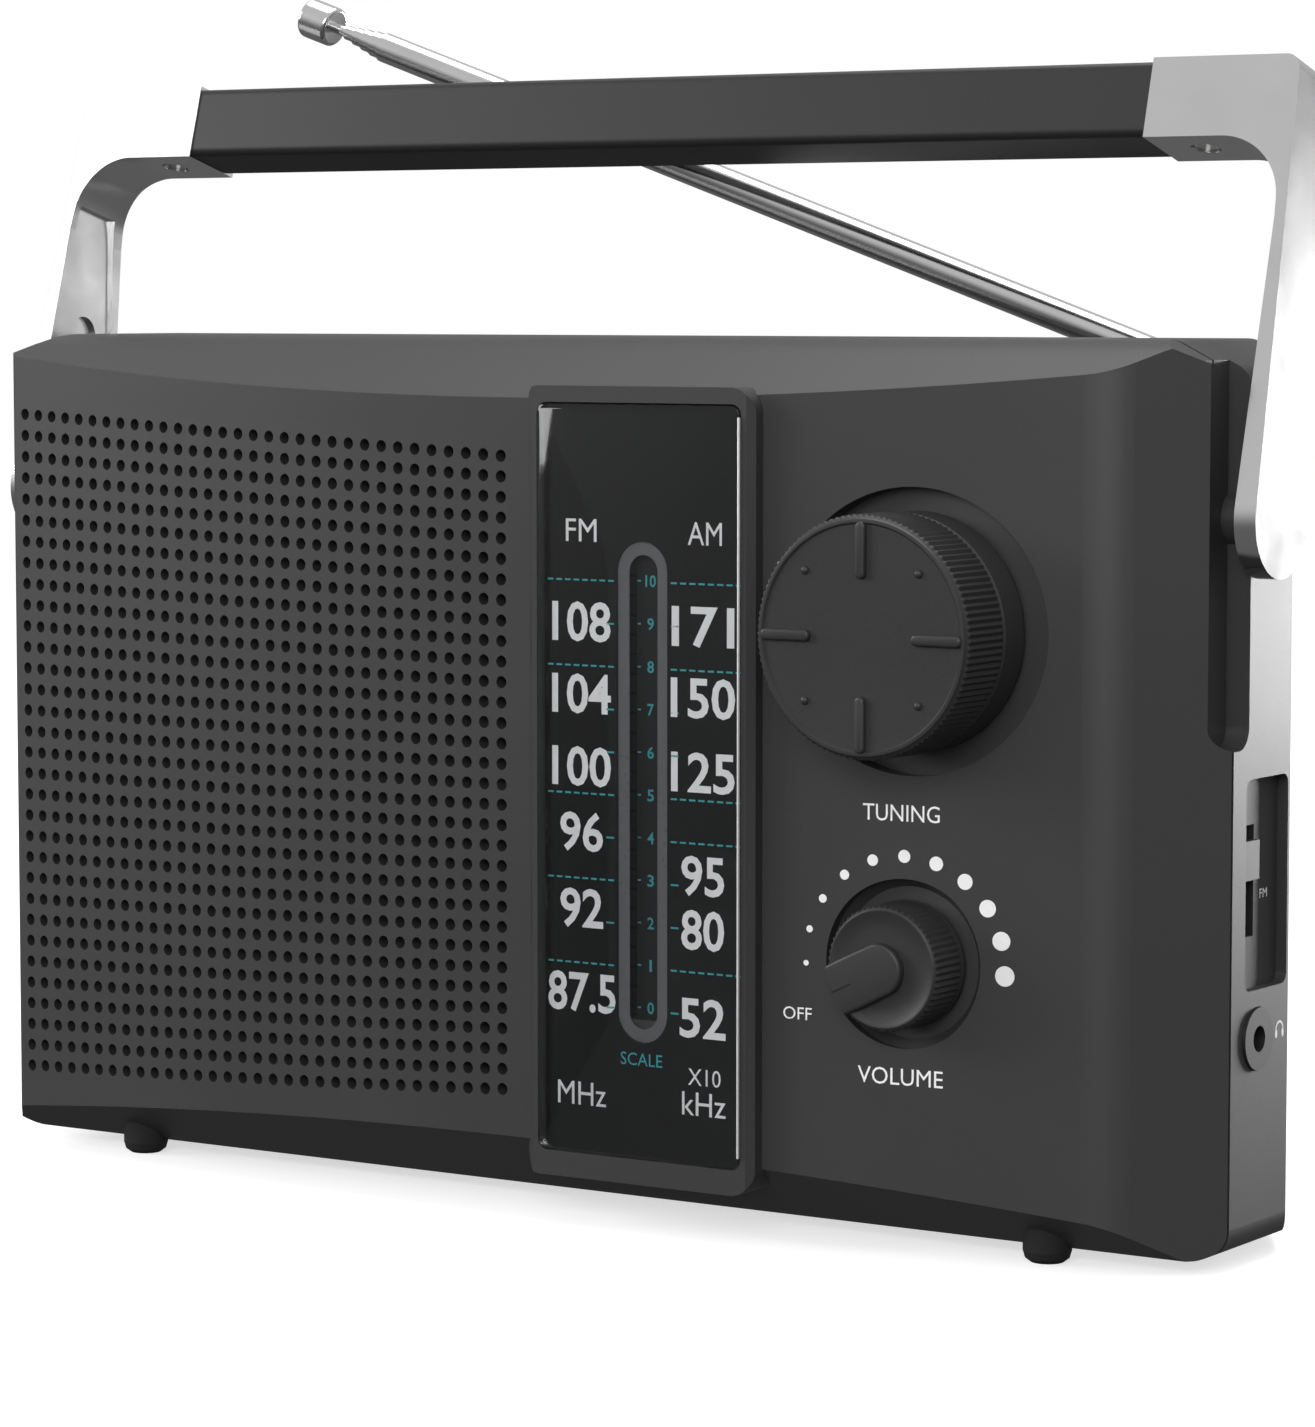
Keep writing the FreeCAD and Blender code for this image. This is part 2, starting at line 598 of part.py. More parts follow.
def speaker_grille():
    """The panel: rows of holes that fan out towards the end of the case."""
    columns = int(value("hole_columns"))
    rows = int(value("hole_rows"))
    margin = value("hole_margin")
    left = value("grille_left") + margin
    right = value("grille_right") - margin
    lows = (value("grille_left_low") + margin, value("grille_right_low") + margin)
    highs = (value("grille_left_high") - margin, value("grille_right_high") - margin)
    front_y = value("bezel_face_y")
    direction = FreeCAD.Vector(0, 1, 0)
    circles = []
    for column in range(columns):
        across = column / (columns - 1)
        low = lows[0] + (lows[1] - lows[0]) * across
        high = highs[0] + (highs[1] - highs[0]) * across
        for step in range(rows):
            spot = FreeCAD.Vector(left + (right - left) * across, front_y,
                                  low + (high - low) * step / (rows - 1))
            circles.append(Part.Wire(Part.makeCircle(value("hole_wide / 2"), spot, direction)))
    corners = [
        FreeCAD.Vector(value("grille_left"), front_y, value("grille_left_low")),
        FreeCAD.Vector(value("grille_right"), front_y, value("grille_right_low")),
        FreeCAD.Vector(value("grille_right"), front_y, value("grille_right_high")),
        FreeCAD.Vector(value("grille_left"), front_y, value("grille_left_high")),
    ]
    outline = Part.makePolygon(corners + corners[:1])
    sheet_face = Part.Face([outline] + circles, "Part::FaceMakerBullseye")
    drilled = doc.addObject("Part::Feature", "grille_drilled")
    drilled.Shape = sheet_face.extrude(FreeCAD.Vector(0, value("seam_y - bezel_face_y"), 0))
    drilled.Placement = FreeCAD.Placement()
    curved = cut("grille_skin", front_outer, front_inner)
    panel = common("grille_panel", curved, drilled)
    ring = cut("grille_ring", rod("ring_outer", "Y", ("speaker_x", "speaker_z"), "bezel_face_y",
                                  "speaker_y - 0.5",
                                  "speaker_wide"),
               rod("ring_inner", "Y", ("speaker_x", "speaker_z"), "bezel_face_y", "speaker_y - 0.5",
                   "speaker_wide - 4"))
    seat = common("grille_seat", ring, front_inner)
    return node(fuse("speaker_grille", panel, seat))


# ---- dial ----

def dial():
    lens = window("lens_block", "fit_gap", "bezel_face_y - 0.3", LENS_BACK)
    node(lens, "dial_lens")
    plate = window("plate_block", "fit_gap", LENS_BACK, PLATE_BACK)
    channel_z = ("channel_low + channel_wide / 2", "channel_high - channel_wide / 2")
    slot = [block("channel_middle", ("channel_x - channel_wide / 2", "channel_x + channel_wide / 2"),
                  ("bezel_face_y", "seam_y"), channel_z)]
    for i, z in enumerate(channel_z):
        slot.append(rod(f"channel_end_{i}", "Y", ("channel_x", z), "bezel_face_y", "seam_y", "channel_wide"))
    drilled = cut("plate_slotted", plate, *slot)
    strip_x = ("channel_x - strip_wide / 2", "channel_x + strip_wide / 2")
    node(fuse(
        "dial_plate",
        drilled,
        block("strip_face", strip_x, (f"{PLATE_BACK} + 1.4", f"{PLATE_BACK} + 2"),
              ("channel_low - 4", "channel_high + 4")),
        block("strip_low", strip_x, (PLATE_BACK, f"{PLATE_BACK} + 2"),
              ("channel_low - 4", "channel_low - 1.5")),
        block("strip_high", strip_x, (PLATE_BACK, f"{PLATE_BACK} + 2"),
              ("channel_high + 1.5", "channel_high + 4")),
    ))
    rail_ends = ("board_low + 2", "board_high - 4")
    rail = [rod("rail_rod", "Z", ("rail_x", "rail_y"), *rail_ends, "rail_wide")]
    for i, z in enumerate(rail_ends):
        rail.append(rod(f"rail_leg_{i}", "Y", ("rail_x", z), "rail_y", "board_y", "rail_wide"))
        knee = doc.addObject("Part::Sphere", f"rail_knee_{i}")
        bind(knee, "Radius", "rail_wide / 2")
        place(knee, "rail_x", "rail_y", z)
        rail.append(knee)
    node(fuse("pointer_rail", *rail))
    # The carriage slides on the rail, passes round the scale strip and grips the cord.
    side = "(channel_wide / 2 - 0.4)"
    inner = "(strip_wide / 2 + 0.5)"
    z = ("pointer_rest - 0.6", "pointer_rest + 0.6")
    leg_y = (f"{PLATE_BACK} + 0.4", "rail_y - 1.6")
    carriage = fuse(
        "carriage",
        block("needle", (f"channel_x - {side}", f"channel_x + {side}"),
              (f"{PLATE_BACK} + 0.4", f"{PLATE_BACK} + 1.1"), z),
        block("leg_left", (f"channel_x - {side}", f"channel_x - {inner}"), leg_y, z),
        block("leg_right", (f"channel_x + {inner}", f"channel_x + {side}"), leg_y, z),
        block("saddle", ("rail_x - 2.6", f"channel_x + {side}"), ("rail_y - 2.2", "rail_y + 2.4"),
              ("pointer_rest - 3", "pointer_rest + 3")),
    )
    bore = rod("rail_bore", "Z", ("rail_x", "rail_y"), "0", TOP, "rail_wide + 2 * run_gap")
    groove = block("cord_groove", ("channel_x - 0.8", "channel_x + 0.8"), ("drum_y - 1", "drum_y + 0.8"),
                   ("0", TOP))
    node(cut("dial_pointer", carriage, bore, groove))


# ---- tuning drive ----

def knob(name, x, y, z, wide, high):
    """A knob with a plain skirt behind its grip, and a blind hole for the shaft."""
    outer = f"{wide} / 2"
    points = [
        ("shaft_wide / 2", "0"), (f"{outer} - 0.7", "0"), (f"{outer} - 0.5", f"{high} * 0.36"),
        (outer, f"{high} * 0.4"), (outer, f"{high} - 0.5"), (f"{outer} - 0.5", high), ("0", high),
        ("0", f"{high} - 2.4"), ("shaft_wide / 2", f"{high} - 2.4"),
    ]
    return node(turned(name, "-Y", (x, y, z), points))


def drum_pulley(name, x, z, groove, bore, extra):
    """A grooved pulley in the plane of the dial cord."""
    middle = "drum_y + 1.5"
    points = [
        (f"{bore} / 2", "0"), (f"{groove} / 2 + {extra}", "0"), (f"{groove} / 2", "1"), (f"{groove} / 2",
                                                                                         "2"),
        (f"{groove} / 2 + {extra}", "3"), (f"{bore} / 2", "3"),
    ]
    return turned(name, "-Y", (x, middle, z), points)


def tuning_drive():
    at = ("tuning_x", "tuning_z")
    knob("tuning_knob", "tuning_x", "recess_floor_y - 0.2", "tuning_z", "tuning_wide", "tuning_high")
    face = "(recess_floor_y - 0.2 - tuning_high + 2.4)"
    node(rod("tuning_shaft", "Y", at, face, "board_y - 3", "shaft_wide"))
    outside = rod("bush_outer", "Y", at, "recess_floor_y", "drum_y - 1.8", "shaft_wide + 4")
    node(cut("tuning_bush", outside, rod("bush_bore", "Y", at, "bezel_face_y", "0",
                                         "shaft_wide + 2 * run_gap")))
    node(drum_pulley("tuning_drum", "tuning_x", "tuning_z", "drum_wide", "shaft_wide", 0.8))
    case = block("varicap_block", ("tuning_x - 10", "tuning_x + 10"), ("board_y - 7", "board_y"),
                 ("tuning_z - 10", "tuning_z + 10"))
    node(cut("tuning_capacitor", case, rod("varicap_bore", "Y", at, "bezel_face_y", "board_y - 2.6",
                                          "shaft_wide + 2 * run_gap")))
    idler_high = "tuning_z + drum_wide / 2 - idler_wide / 2"
    pulleys = []
    pins = []
    for i, z in enumerate(("idler_low", idler_high)):
        pulleys.append(drum_pulley(f"idler_{i}", "idler_x", z, "idler_wide", "2 + 2 * run_gap", 1.2))
        pins.append(rod(f"idler_pin_{i}", "Y", ("idler_x", z), "drum_y - 1.9", "board_y", "2"))
        pins.append(rod(f"idler_collar_{i}", "Y", ("idler_x", z), "drum_y + 1.7", "board_y", "4"))
    node(pulleys[0], "lower_idler")
    node(pulleys[1], "upper_idler")
    node(fuse("idler_pins", *pins))
    dial_cord(value(idler_high))


def dial_cord(idler_high):
    """A closed loop round the drum and both idlers, clear of their grooves."""
    reach = value("cord_wide / 2 + cord_gap")
    drum_r = value("drum_wide / 2") + reach
    idler_r = value("idler_wide / 2") + reach
    drum = (value("tuning_x"), value("tuning_z"))
    high = (value("idler_x"), idler_high)
    low = (value("idler_x"), value("idler_low"))
    span = math.dist(drum, low)
    heading = math.atan2(drum[1] - low[1], drum[0] - low[0]) - math.asin((drum_r - idler_r) / span)
    y = value("drum_y")

    def spot(middle, radius, angle):
        return FreeCAD.Vector(middle[0] + radius * math.cos(angle), y, middle[1] + radius * math.sin(angle))

    def arc(middle, radius, start, end):
        return Part.Arc(spot(middle, radius, start), spot(middle, radius, (start + end) / 2),
                        spot(middle, radius, end))

    quarter = math.pi / 2
    leave = heading - quarter
    pieces = [
        Part.LineSegment(spot(drum, drum_r, quarter), spot(high, idler_r, quarter)),
        arc(high, idler_r, quarter, 2 * quarter),
        Part.LineSegment(spot(high, idler_r, 2 * quarter), spot(low, idler_r, 2 * quarter)),
        arc(low, idler_r, 2 * quarter, leave + 4 * quarter),
        Part.LineSegment(spot(low, idler_r, leave), spot(drum, drum_r, leave)),
        arc(drum, drum_r, leave, quarter),
    ]
    route = Part.Wire([piece.toShape() for piece in pieces])
    start = spot(drum, drum_r, quarter)
    section = Part.Wire(Part.makeCircle(value("cord_wide / 2"), start, FreeCAD.Vector(1, 0, 0)))
    cord = doc.addObject("Part::Feature", "dial_cord")
    cord.Shape = route.makePipeShell([section], True, False)
    cord.Placement = FreeCAD.Placement()
    node(cord)


def volume_drive():
    at = ("volume_x", "volume_z")
    knob("volume_knob", "volume_x", "volume_floor_y - 0.2", "volume_z", "volume_wide", "volume_high")
    face = "(volume_floor_y - 0.2 - volume_high + 2.4)"
    node(rod("volume_shaft", "Y", at, face, "board_y - 6", "shaft_wide"))
    body = fuse(
        "pot_body",
        rod("pot_nose", "Y", at, "volume_floor_y + 0.1", "board_y - 10", "shaft_wide + 2.8"),
        rod("pot_can", "Y", at, "board_y - 11", "board_y - 4", "16"),
        block("pot_foot", ("volume_x - 6", "volume_x + 6"), ("board_y - 5", "board_y"),
              ("volume_z - 6", "volume_z + 6")),
    )
    bore = rod("pot_bore", "Y", at, "bezel_face_y", "board_y - 5.9", "shaft_wide + 2 * run_gap")
    node(cut("volume_control", body, bore))


# ---- circuit board ----

def electronics():
    board = block("board_blank", ("board_left", "board_right"), ("board_y", BOARD_BACK),
                  ("board_low", "board_high"))
    holes = [rod(f"board_fixing_{i}", "Y", spot, "board_y", BOARD_BACK, "2.4") for i,
             spot in enumerate(BOARD_POSTS)]
    holes.append(rod("post_hole", "Y", CASE_POSTS[1], "board_y", BOARD_BACK, "post_wide + 1"))
    node(cut("main_circuit_board", board, *holes))
    screws = []
    for i, (x, z) in enumerate(BOARD_POSTS):
        points = [("0", "0"), ("0", "7.6"), ("1", "7.6"), ("1", "1.6"), ("2.3", "1.6"), ("2.3", "0")]
        screws.append(turned(f"board_screw_{i}", "-Y", (x, f"{BOARD_BACK} + 1.6", z), points))
    node(fuse("board_screws", *screws))
    cans = []
    for i in range(3):
        low = f"can_low + {i} * can_pitch"
        cans.append(block(f"can_{i}", ("can_left", "can_left + can_side"), (BOARD_BACK, PART_TOP),
                          (low, f"{low} + can_side")))
    node(fuse("if_transformers", *cans))
    cells = [rod(f"electrolytic_{i}", "Y", spot, BOARD_BACK, PART_TOP, "electrolytic_wide")
             for i, spot in enumerate(ELECTROLYTICS)]
    node(fuse("filter_capacitors", *cells))
    at = ("ferrite_y", "ferrite_z")
    node(rod("ferrite_rod", "X", at, "ferrite_left", "ferrite_right", "ferrite_wide"))
    coil = rod("coil_outer", "X", at, "coil_left", "coil_right", "coil_wide")
    node(cut("aerial_coil", coil, rod("coil_bore", "X", at, "ferrite_left", "ferrite_right", "ferrite_wide")))
    holders = []
    for i, x in enumerate(("ferrite_left + 14", "ferrite_right - 18")):
        raw = block(f"holder_{i}", (x, f"{x} + holder_thick"), ("ferrite_y - 6", "rear_y - shell_wall"),
                    ("ferrite_z - 6", "ferrite_z + 6"))
        bore = rod(f"holder_bore_{i}", "X", at, "ferrite_left", "ferrite_right", "ferrite_wide")
        holders.append(cut(f"holder_bored_{i}", raw, bore))
    node(fuse("ferrite_holders", *holders))
    core_x = ("core_x - core_wide / 2", "core_x + core_wide / 2")
    core_z = ("core_low", "core_low + core_high")
    core = block("core", core_x, ("core_y - core_deep / 2", "core_y + core_deep / 2"), core_z)
    winding = block("winding", ("core_x - core_wide / 2 + 3", "core_x + core_wide / 2 - 3"),
                    ("core_y - core_deep / 2 - 4", "core_y + core_deep / 2 + 4"),
                    ("core_low + 5", "core_low + core_high - 5"))
    feet = block("core_foot", ("core_x - 6", "core_x + 6"), ("core_y + core_deep / 2", "rear_y - shell_wall"),
                 ("core_low + core_high - 4", "core_low + core_high"))
    node(fuse("mains_transformer", core, winding, feet))


# ---- loudspeaker ----

def loudspeaker():
    spot = ("speaker_x", "speaker_y", "speaker_z")
    rim = "speaker_wide / 2"
    frame = [
        (rim, "0"), (rim, "1.3"), (f"{rim} - 4.5", "1.3"), ("17", "basket_deep - 1.2"), ("17", "basket_deep"),
        ("8", "basket_deep"), ("8", "basket_deep - 1.2"), ("16", "basket_deep - 1.2"), (f"{rim} - 5.5", "0"),
    ]
    node(turned("speaker_frame", "+Y", spot, frame))
    cone = [
        (f"{rim} - 1", "-0.5"), (f"{rim} - 1", "0"), (f"{rim} - 6.6", "0"), ("11", "basket_deep - 2.2"),
        ("10", "basket_deep - 2.2"), (f"{rim} - 7.6", "-0.5"),
    ]
    node(turned("speaker_cone", "+Y", spot, cone))
    cap = [("0", "basket_deep - 5.6"), ("0", "basket_deep - 5"), ("11.6", "basket_deep - 3.1"),
           ("11.9", "basket_deep - 3.6"),
           ("7", "basket_deep - 5")]
    node(turned("speaker_dust_cap", "+Y", spot, cap))
    magnet_y = "(speaker_y + basket_deep)"
    node(rod("speaker_magnet", "Y", ("speaker_x", "speaker_z"), magnet_y, f"{magnet_y} + magnet_deep",
             "magnet_wide"))


# ---- batteries ----

def batteries():
    rows = ("cell_low", "cell_low + cell_pitch")
    ends = (("-cell_long - cell_gap / 2", "-cell_gap / 2"), ("cell_gap / 2", "cell_long + cell_gap / 2"))
    cells = []
    for i, z in enumerate(rows):
        for j, (low, high) in enumerate(ends):
            can = rod(f"cell_{i}{j}", "X", ("cell_y", z), f"{low} + 1.5", high, "cell_wide")
            nub = rod(f"nub_{i}{j}", "X", ("cell_y", z), low, f"{low} + 1.5", "6.5")
            cells.append(fuse(f"cell_whole_{i}{j}", can, nub))
    node(fuse("battery_cells", *cells))
    tray_wall = "(cell_y - cell_wide / 2 - 0.2)"
    contact = "(cell_long + cell_gap / 2 + 4)"
    low_z = "cell_low - cell_wide / 2 + 1.4"
    high_z = "cell_low + cell_pitch + cell_wide / 2 + 0.4"
    tray = fuse(
        "battery_tray",
        block("tray_back", (f"-{contact} - 1.5", f"{contact} + 1.5"), (f"{tray_wall} - 1", tray_wall),
              (low_z, high_z)),
        block("tray_left", (f"-{contact} - 1.5", f"-{contact} - 0.5"),
              (f"{tray_wall} - 1", "rear_y - shell_wall - 1"),
              (low_z, high_z)),
        block("tray_right", (f"{contact} + 0.5", f"{contact} + 1.5"),
              (f"{tray_wall} - 1", "rear_y - shell_wall - 1"),
              (low_z, high_z)),
        block("tray_roof", (f"-{contact} - 1.5", f"{contact} + 1.5"),
              (f"{tray_wall} - 1", "rear_y - shell_wall - 1"),
              (high_z, f"{high_z} + 1")),
    )
    node(tray)
    plates = []
    for i, z in enumerate(rows):
        for j, sign in enumerate(("-", "")):
            x = (f"{sign}({contact} + 0.5)", f"{sign}{contact}") if sign else (contact, f"{contact} + 0.5")
            plates.append(block(f"contact_{i}{j}", x, ("cell_y - 9", "cell_y + 9"), (f"{z} - 9", f"{z} + 9")))
    node(fuse("battery_contacts", *plates))
    node(springs(rows, contact))


def springs(rows, contact):
    """Wire coils between the right hand contacts and the cells."""
    low = "(cell_long + cell_gap / 2)"
    step = f"(({contact} - {low} - spring_wire) / (spring_coils - 1))"
    pieces = []
    for i, z in enumerate(rows):
        for j in range(int(value("spring_coils"))):
            coil = doc.addObject("Part::Torus", f"spring_coil_{i}{j}")
            turn(coil, "+X")
            bind(coil, "Radius1", "spring_wide / 2")
            bind(coil, "Radius2", "spring_wire / 2")
            place(coil, f"{low} + spring_wire / 2 + {j} * {step}", "cell_y", z)
            pieces.append(coil)
        pieces.append(rod(f"spring_link_{i}", "X", ("cell_y", f"{z} + spring_wide / 2"), low, contact,
                          "spring_wire"))
    return fuse("battery_springs", *pieces)


# ---- rear shell and its door ----

DOOR_AXIS_Y = "(rear_y - shell_wall / 2)"
DOOR_AXIS_Z = "(door_low + door_gap + shell_wall / 2)"


def rear_shell():
    cavity = cut("rear_cavity", rear_form("rear_inner", "shell_wall"), liner)
    backing = block("switch_backing", (f"{POCKET_FLOOR} - 0.3", HALF),
                    ("switch_front_y - 1.5", "switch_rear_y + 1.5"),
                    ("switch_low - 1.5", "switch_high + 1.5"))
    posts = [backing]
    for i, (x, z) in enumerate(CASE_POSTS):
        posts.append(rod(f"rear_post_{i}", "Y", (x, z), "seam_y", "rear_y", "post_wide"))
    for side, sign in (("right", 1), ("left", -1)):
        span = (f"{POCKET_FLOOR} - shell_wall", f"{ARM_INNER} - 0.3")
        if sign < 0:
            span = (f"-({ARM_INNER} - 0.3)", f"-({POCKET_FLOOR} - shell_wall)")
        posts.append(rod(f"pivot_boss_{side}", "X", ("pivot_y", "pivot_z"), *span, "pivot_pin + 4"))
    supports = common("rear_supports", fuse("rear_posts", *posts), rear_outer)
    hollow = cut("rear_hollow", rear_outer, cavity, recess)
    whole = fuse("rear_whole", hollow, supports)
    ring = cut("reveal", block("reveal_block", (f"-{HALF} - 1", f"{HALF} + 1"),
                               ("seam_y", "seam_y + reveal_wide"),
                               ("0", f"{TOP} + 1")), rounded_block("reveal_core", "reveal_deep", "seam_y",
                                                                   "rear_y"))
    openings = [
        ring,
        block("door_opening", ("-door_half", "door_half"), ("rear_y - shell_wall - 1", "rear_y + 1"),
              ("door_low", "door_high")),
        block("inlet_opening", ("inlet_x - inlet_wide / 2", "inlet_x + inlet_wide / 2"),
              ("rear_y - 4", "rear_y + 1"),
              ("inlet_z - inlet_high / 2", "inlet_z + inlet_high / 2")),
        block("switch_slot", (f"{POCKET_FLOOR} - 2", f"{HALF} + 1"),
              ("slot_front_y", "slot_front_y + slot_wide"),
              ("slot_low", "slot_high")),
        soften("switch_window", block("switch_window_block", (f"{HALF} - switch_deep", f"{HALF} + 1"),
                                      ("switch_front_y", "switch_rear_y"), ("switch_low", "switch_high")),
               "1.5", along("X")),
        rod("jack_hole", "X", ("jack_y", "jack_z"), "board_right", f"{HALF} + 1", "jack_wide"),
        rod("pin_holes", "X", ("pivot_y", "pivot_z"), f"-{HALF} - 1", f"{HALF} + 1", "pivot_pin"),
        rod("aerial_hole", "Z", ("aerial_x", "aerial_y"), f"{SHELF} - shell_wall - 1", f"{SHELF} + 1", 6),
        rod("hinge_pin_holes", "X", (DOOR_AXIS_Y, DOOR_AXIS_Z), "-door_half - 2", "door_half + 2", 1.2),
    ]
    for i, (x, z) in enumerate(CASE_POSTS):
        openings.append(rod(f"rear_screw_{i}", "Y", (x, z), "seam_y", "rear_y", 3.2))
        openings.append(rod(f"rear_counterbore_{i}", "Y", (x, z), "seam_y + 6", "rear_y + 1", 6.2))
    node(cut("rear_shell", whole, *openings))


def battery_door():
    """The door swings down on two pins through its rounded lower edge."""
    side = "(door_half - door_gap)"
    plate = block("door_plate", (f"-{side}", side), ("rear_y - shell_wall", "rear_y"),
                  (DOOR_AXIS_Z, "door_high - door_gap"))
    edge = rod("door_edge", "X", (DOOR_AXIS_Y, DOOR_AXIS_Z), f"-{side}", side, "shell_wall")
    bores = [rod("door_bore_left", "X", (DOOR_AXIS_Y, DOOR_AXIS_Z), "-door_half", f"-{side} + 3.5",
                 "1.2 + 2 * run_gap"),
             rod("door_bore_right", "X", (DOOR_AXIS_Y, DOOR_AXIS_Z), f"{side} - 3.5", "door_half",
                 "1.2 + 2 * run_gap")]
    grooves = [block(f"door_grip_{i}", ("-9", "9"), ("rear_y - 0.7", "rear_y + 1"),
                     (f"door_high - {z}", f"door_high - {z - 1}"))
               for i, z in enumerate((5, 7, 9))]
    node(cut("battery_door", fuse("door_blank", plate, edge), *bores, *grooves))
    pins = [rod("hinge_pin_left", "X", (DOOR_AXIS_Y, DOOR_AXIS_Z), "-door_half - 2", f"-{side} + 3", 1.2),
            rod("hinge_pin_right", "X", (DOOR_AXIS_Y, DOOR_AXIS_Z), f"{side} - 3", "door_half + 2", 1.2)]
    node(fuse("door_hinge_pins", *pins))


def case_fittings():
    screws = []
    for i, (x, z) in enumerate(CASE_POSTS):
        points = [("0", "0"), ("0", "15.5"), ("1.25", "15.5"), ("1.25", "2"), ("2.9", "2"), ("2.9", "0")]
        screws.append(turned(f"shell_screw_{i}", "-Y", (x, "seam_y + 8", z), points))
    node(fuse("shell_screws", *screws))
    inlet = block("inlet_block", ("inlet_x - inlet_wide / 2 + fit_gap", "inlet_x + inlet_wide / 2 - fit_gap"),
                  ("rear_y - 14", "rear_y - 0.4"), ("inlet_z - inlet_high / 2 + fit_gap",
                                                    "inlet_z + inlet_high / 2 - fit_gap"))
    socket = [block("inlet_slot", ("inlet_x - 3.2", "inlet_x + 3.2"), ("rear_y - 11", "rear_y"),
                    ("inlet_z - 2.8", "inlet_z + 2.8"))]
    for i, sign in enumerate(("-", "+")):
        socket.append(rod(f"inlet_end_{i}", "Y", (f"inlet_x {sign} 3.2", "inlet_z"), "rear_y - 11",
                          "rear_y", 5.6))
    node(cut("mains_inlet", inlet, *socket))
    pins = [rod(f"inlet_pin_{i}", "Y", (f"inlet_x {sign} 2.6", "inlet_z"), "rear_y - 11", "rear_y - 2", 1.8)
            for i, sign in enumerate(("-", "+"))]
    node(fuse("inlet_pins", *pins))
    ring = fuse(
        "jack_body",
        rod("jack_ring", "X", ("jack_y", "jack_z"), "board_right + 4", f"{HALF} + 0.4",
            "jack_wide - 2 * fit_gap"),
        block("jack_block", ("board_right + 0.3", "board_right + 5.4"), ("jack_y - 5", "jack_y + 5"),
              ("jack_z - 5", "jack_z + 5")),
    )
    node(cut("headphone_jack", ring, rod("jack_bore_cut", "X", ("jack_y", "jack_z"), "board_right + 1.5",
                                         f"{HALF} + 1", "jack_bore")))
    slot_y = ("slot_front_y + 0.2", "slot_front_y + slot_wide - 0.2")
    flange = f"({POCKET_FLOOR} - 0.4)"
    button = fuse(
        "band_switch_button",
        block("button_top", (flange, f"{HALF} - 0.6"), slot_y, ("slider_low", "slider_high")),
        block("button_flange", (f"{flange} - 1.4", flange),
              ("slot_front_y - 1", "slot_front_y + slot_wide + 1"),
              ("slider_low - 1.5", "slider_high + 1.5")),
    )
    node(button)
    node(block("band_switch_case", ("board_right - 4", f"{flange} - 1.6"), (BOARD_BACK, f"{BOARD_BACK} + 7"),
               ("slot_low - 4", "slot_high + 4")))
    feet = []
    for i, (x, y) in enumerate((("-foot_x", "front_foot_y"), ("foot_x", "front_foot_y"),
                                ("-foot_x", "rear_foot_y"), ("foot_x", "rear_foot_y"))):
        points = [("0", "0"), ("foot_wide / 2 - 1.1", "0"), ("foot_wide / 2 - 0.3", "0.6"),
                  ("foot_wide / 2", "1.6"),
                  ("foot_wide / 2", "foot_height + 4"), ("0", "foot_height + 4")]
        feet.append(turned(f"foot_{i}", "+Z", (x, y, "0"), points))
    node(cut("rubber_feet", fuse("feet", *feet), front_outer, rear_outer))


# ---- handle ----

def tilt_back(piece):
    """Turns a piece drawn upright at the origin into the raised handle's place."""
    angle = value("handle_back")
    piece.Placement = FreeCAD.Placement(FreeCAD.Vector(), FreeCAD.Rotation(FreeCAD.Vector(-1, 0, 0), angle))
    bind(piece, "Placement.Rotation.Angle", "handle_back")
    place(piece, "0", "pivot_y", "pivot_z")
    return piece


def mirrored(name, source):
    piece = doc.addObject("Part::Mirroring", name)
    piece.Source = source
    piece.Normal = FreeCAD.Vector(1, 0, 0)
    return piece


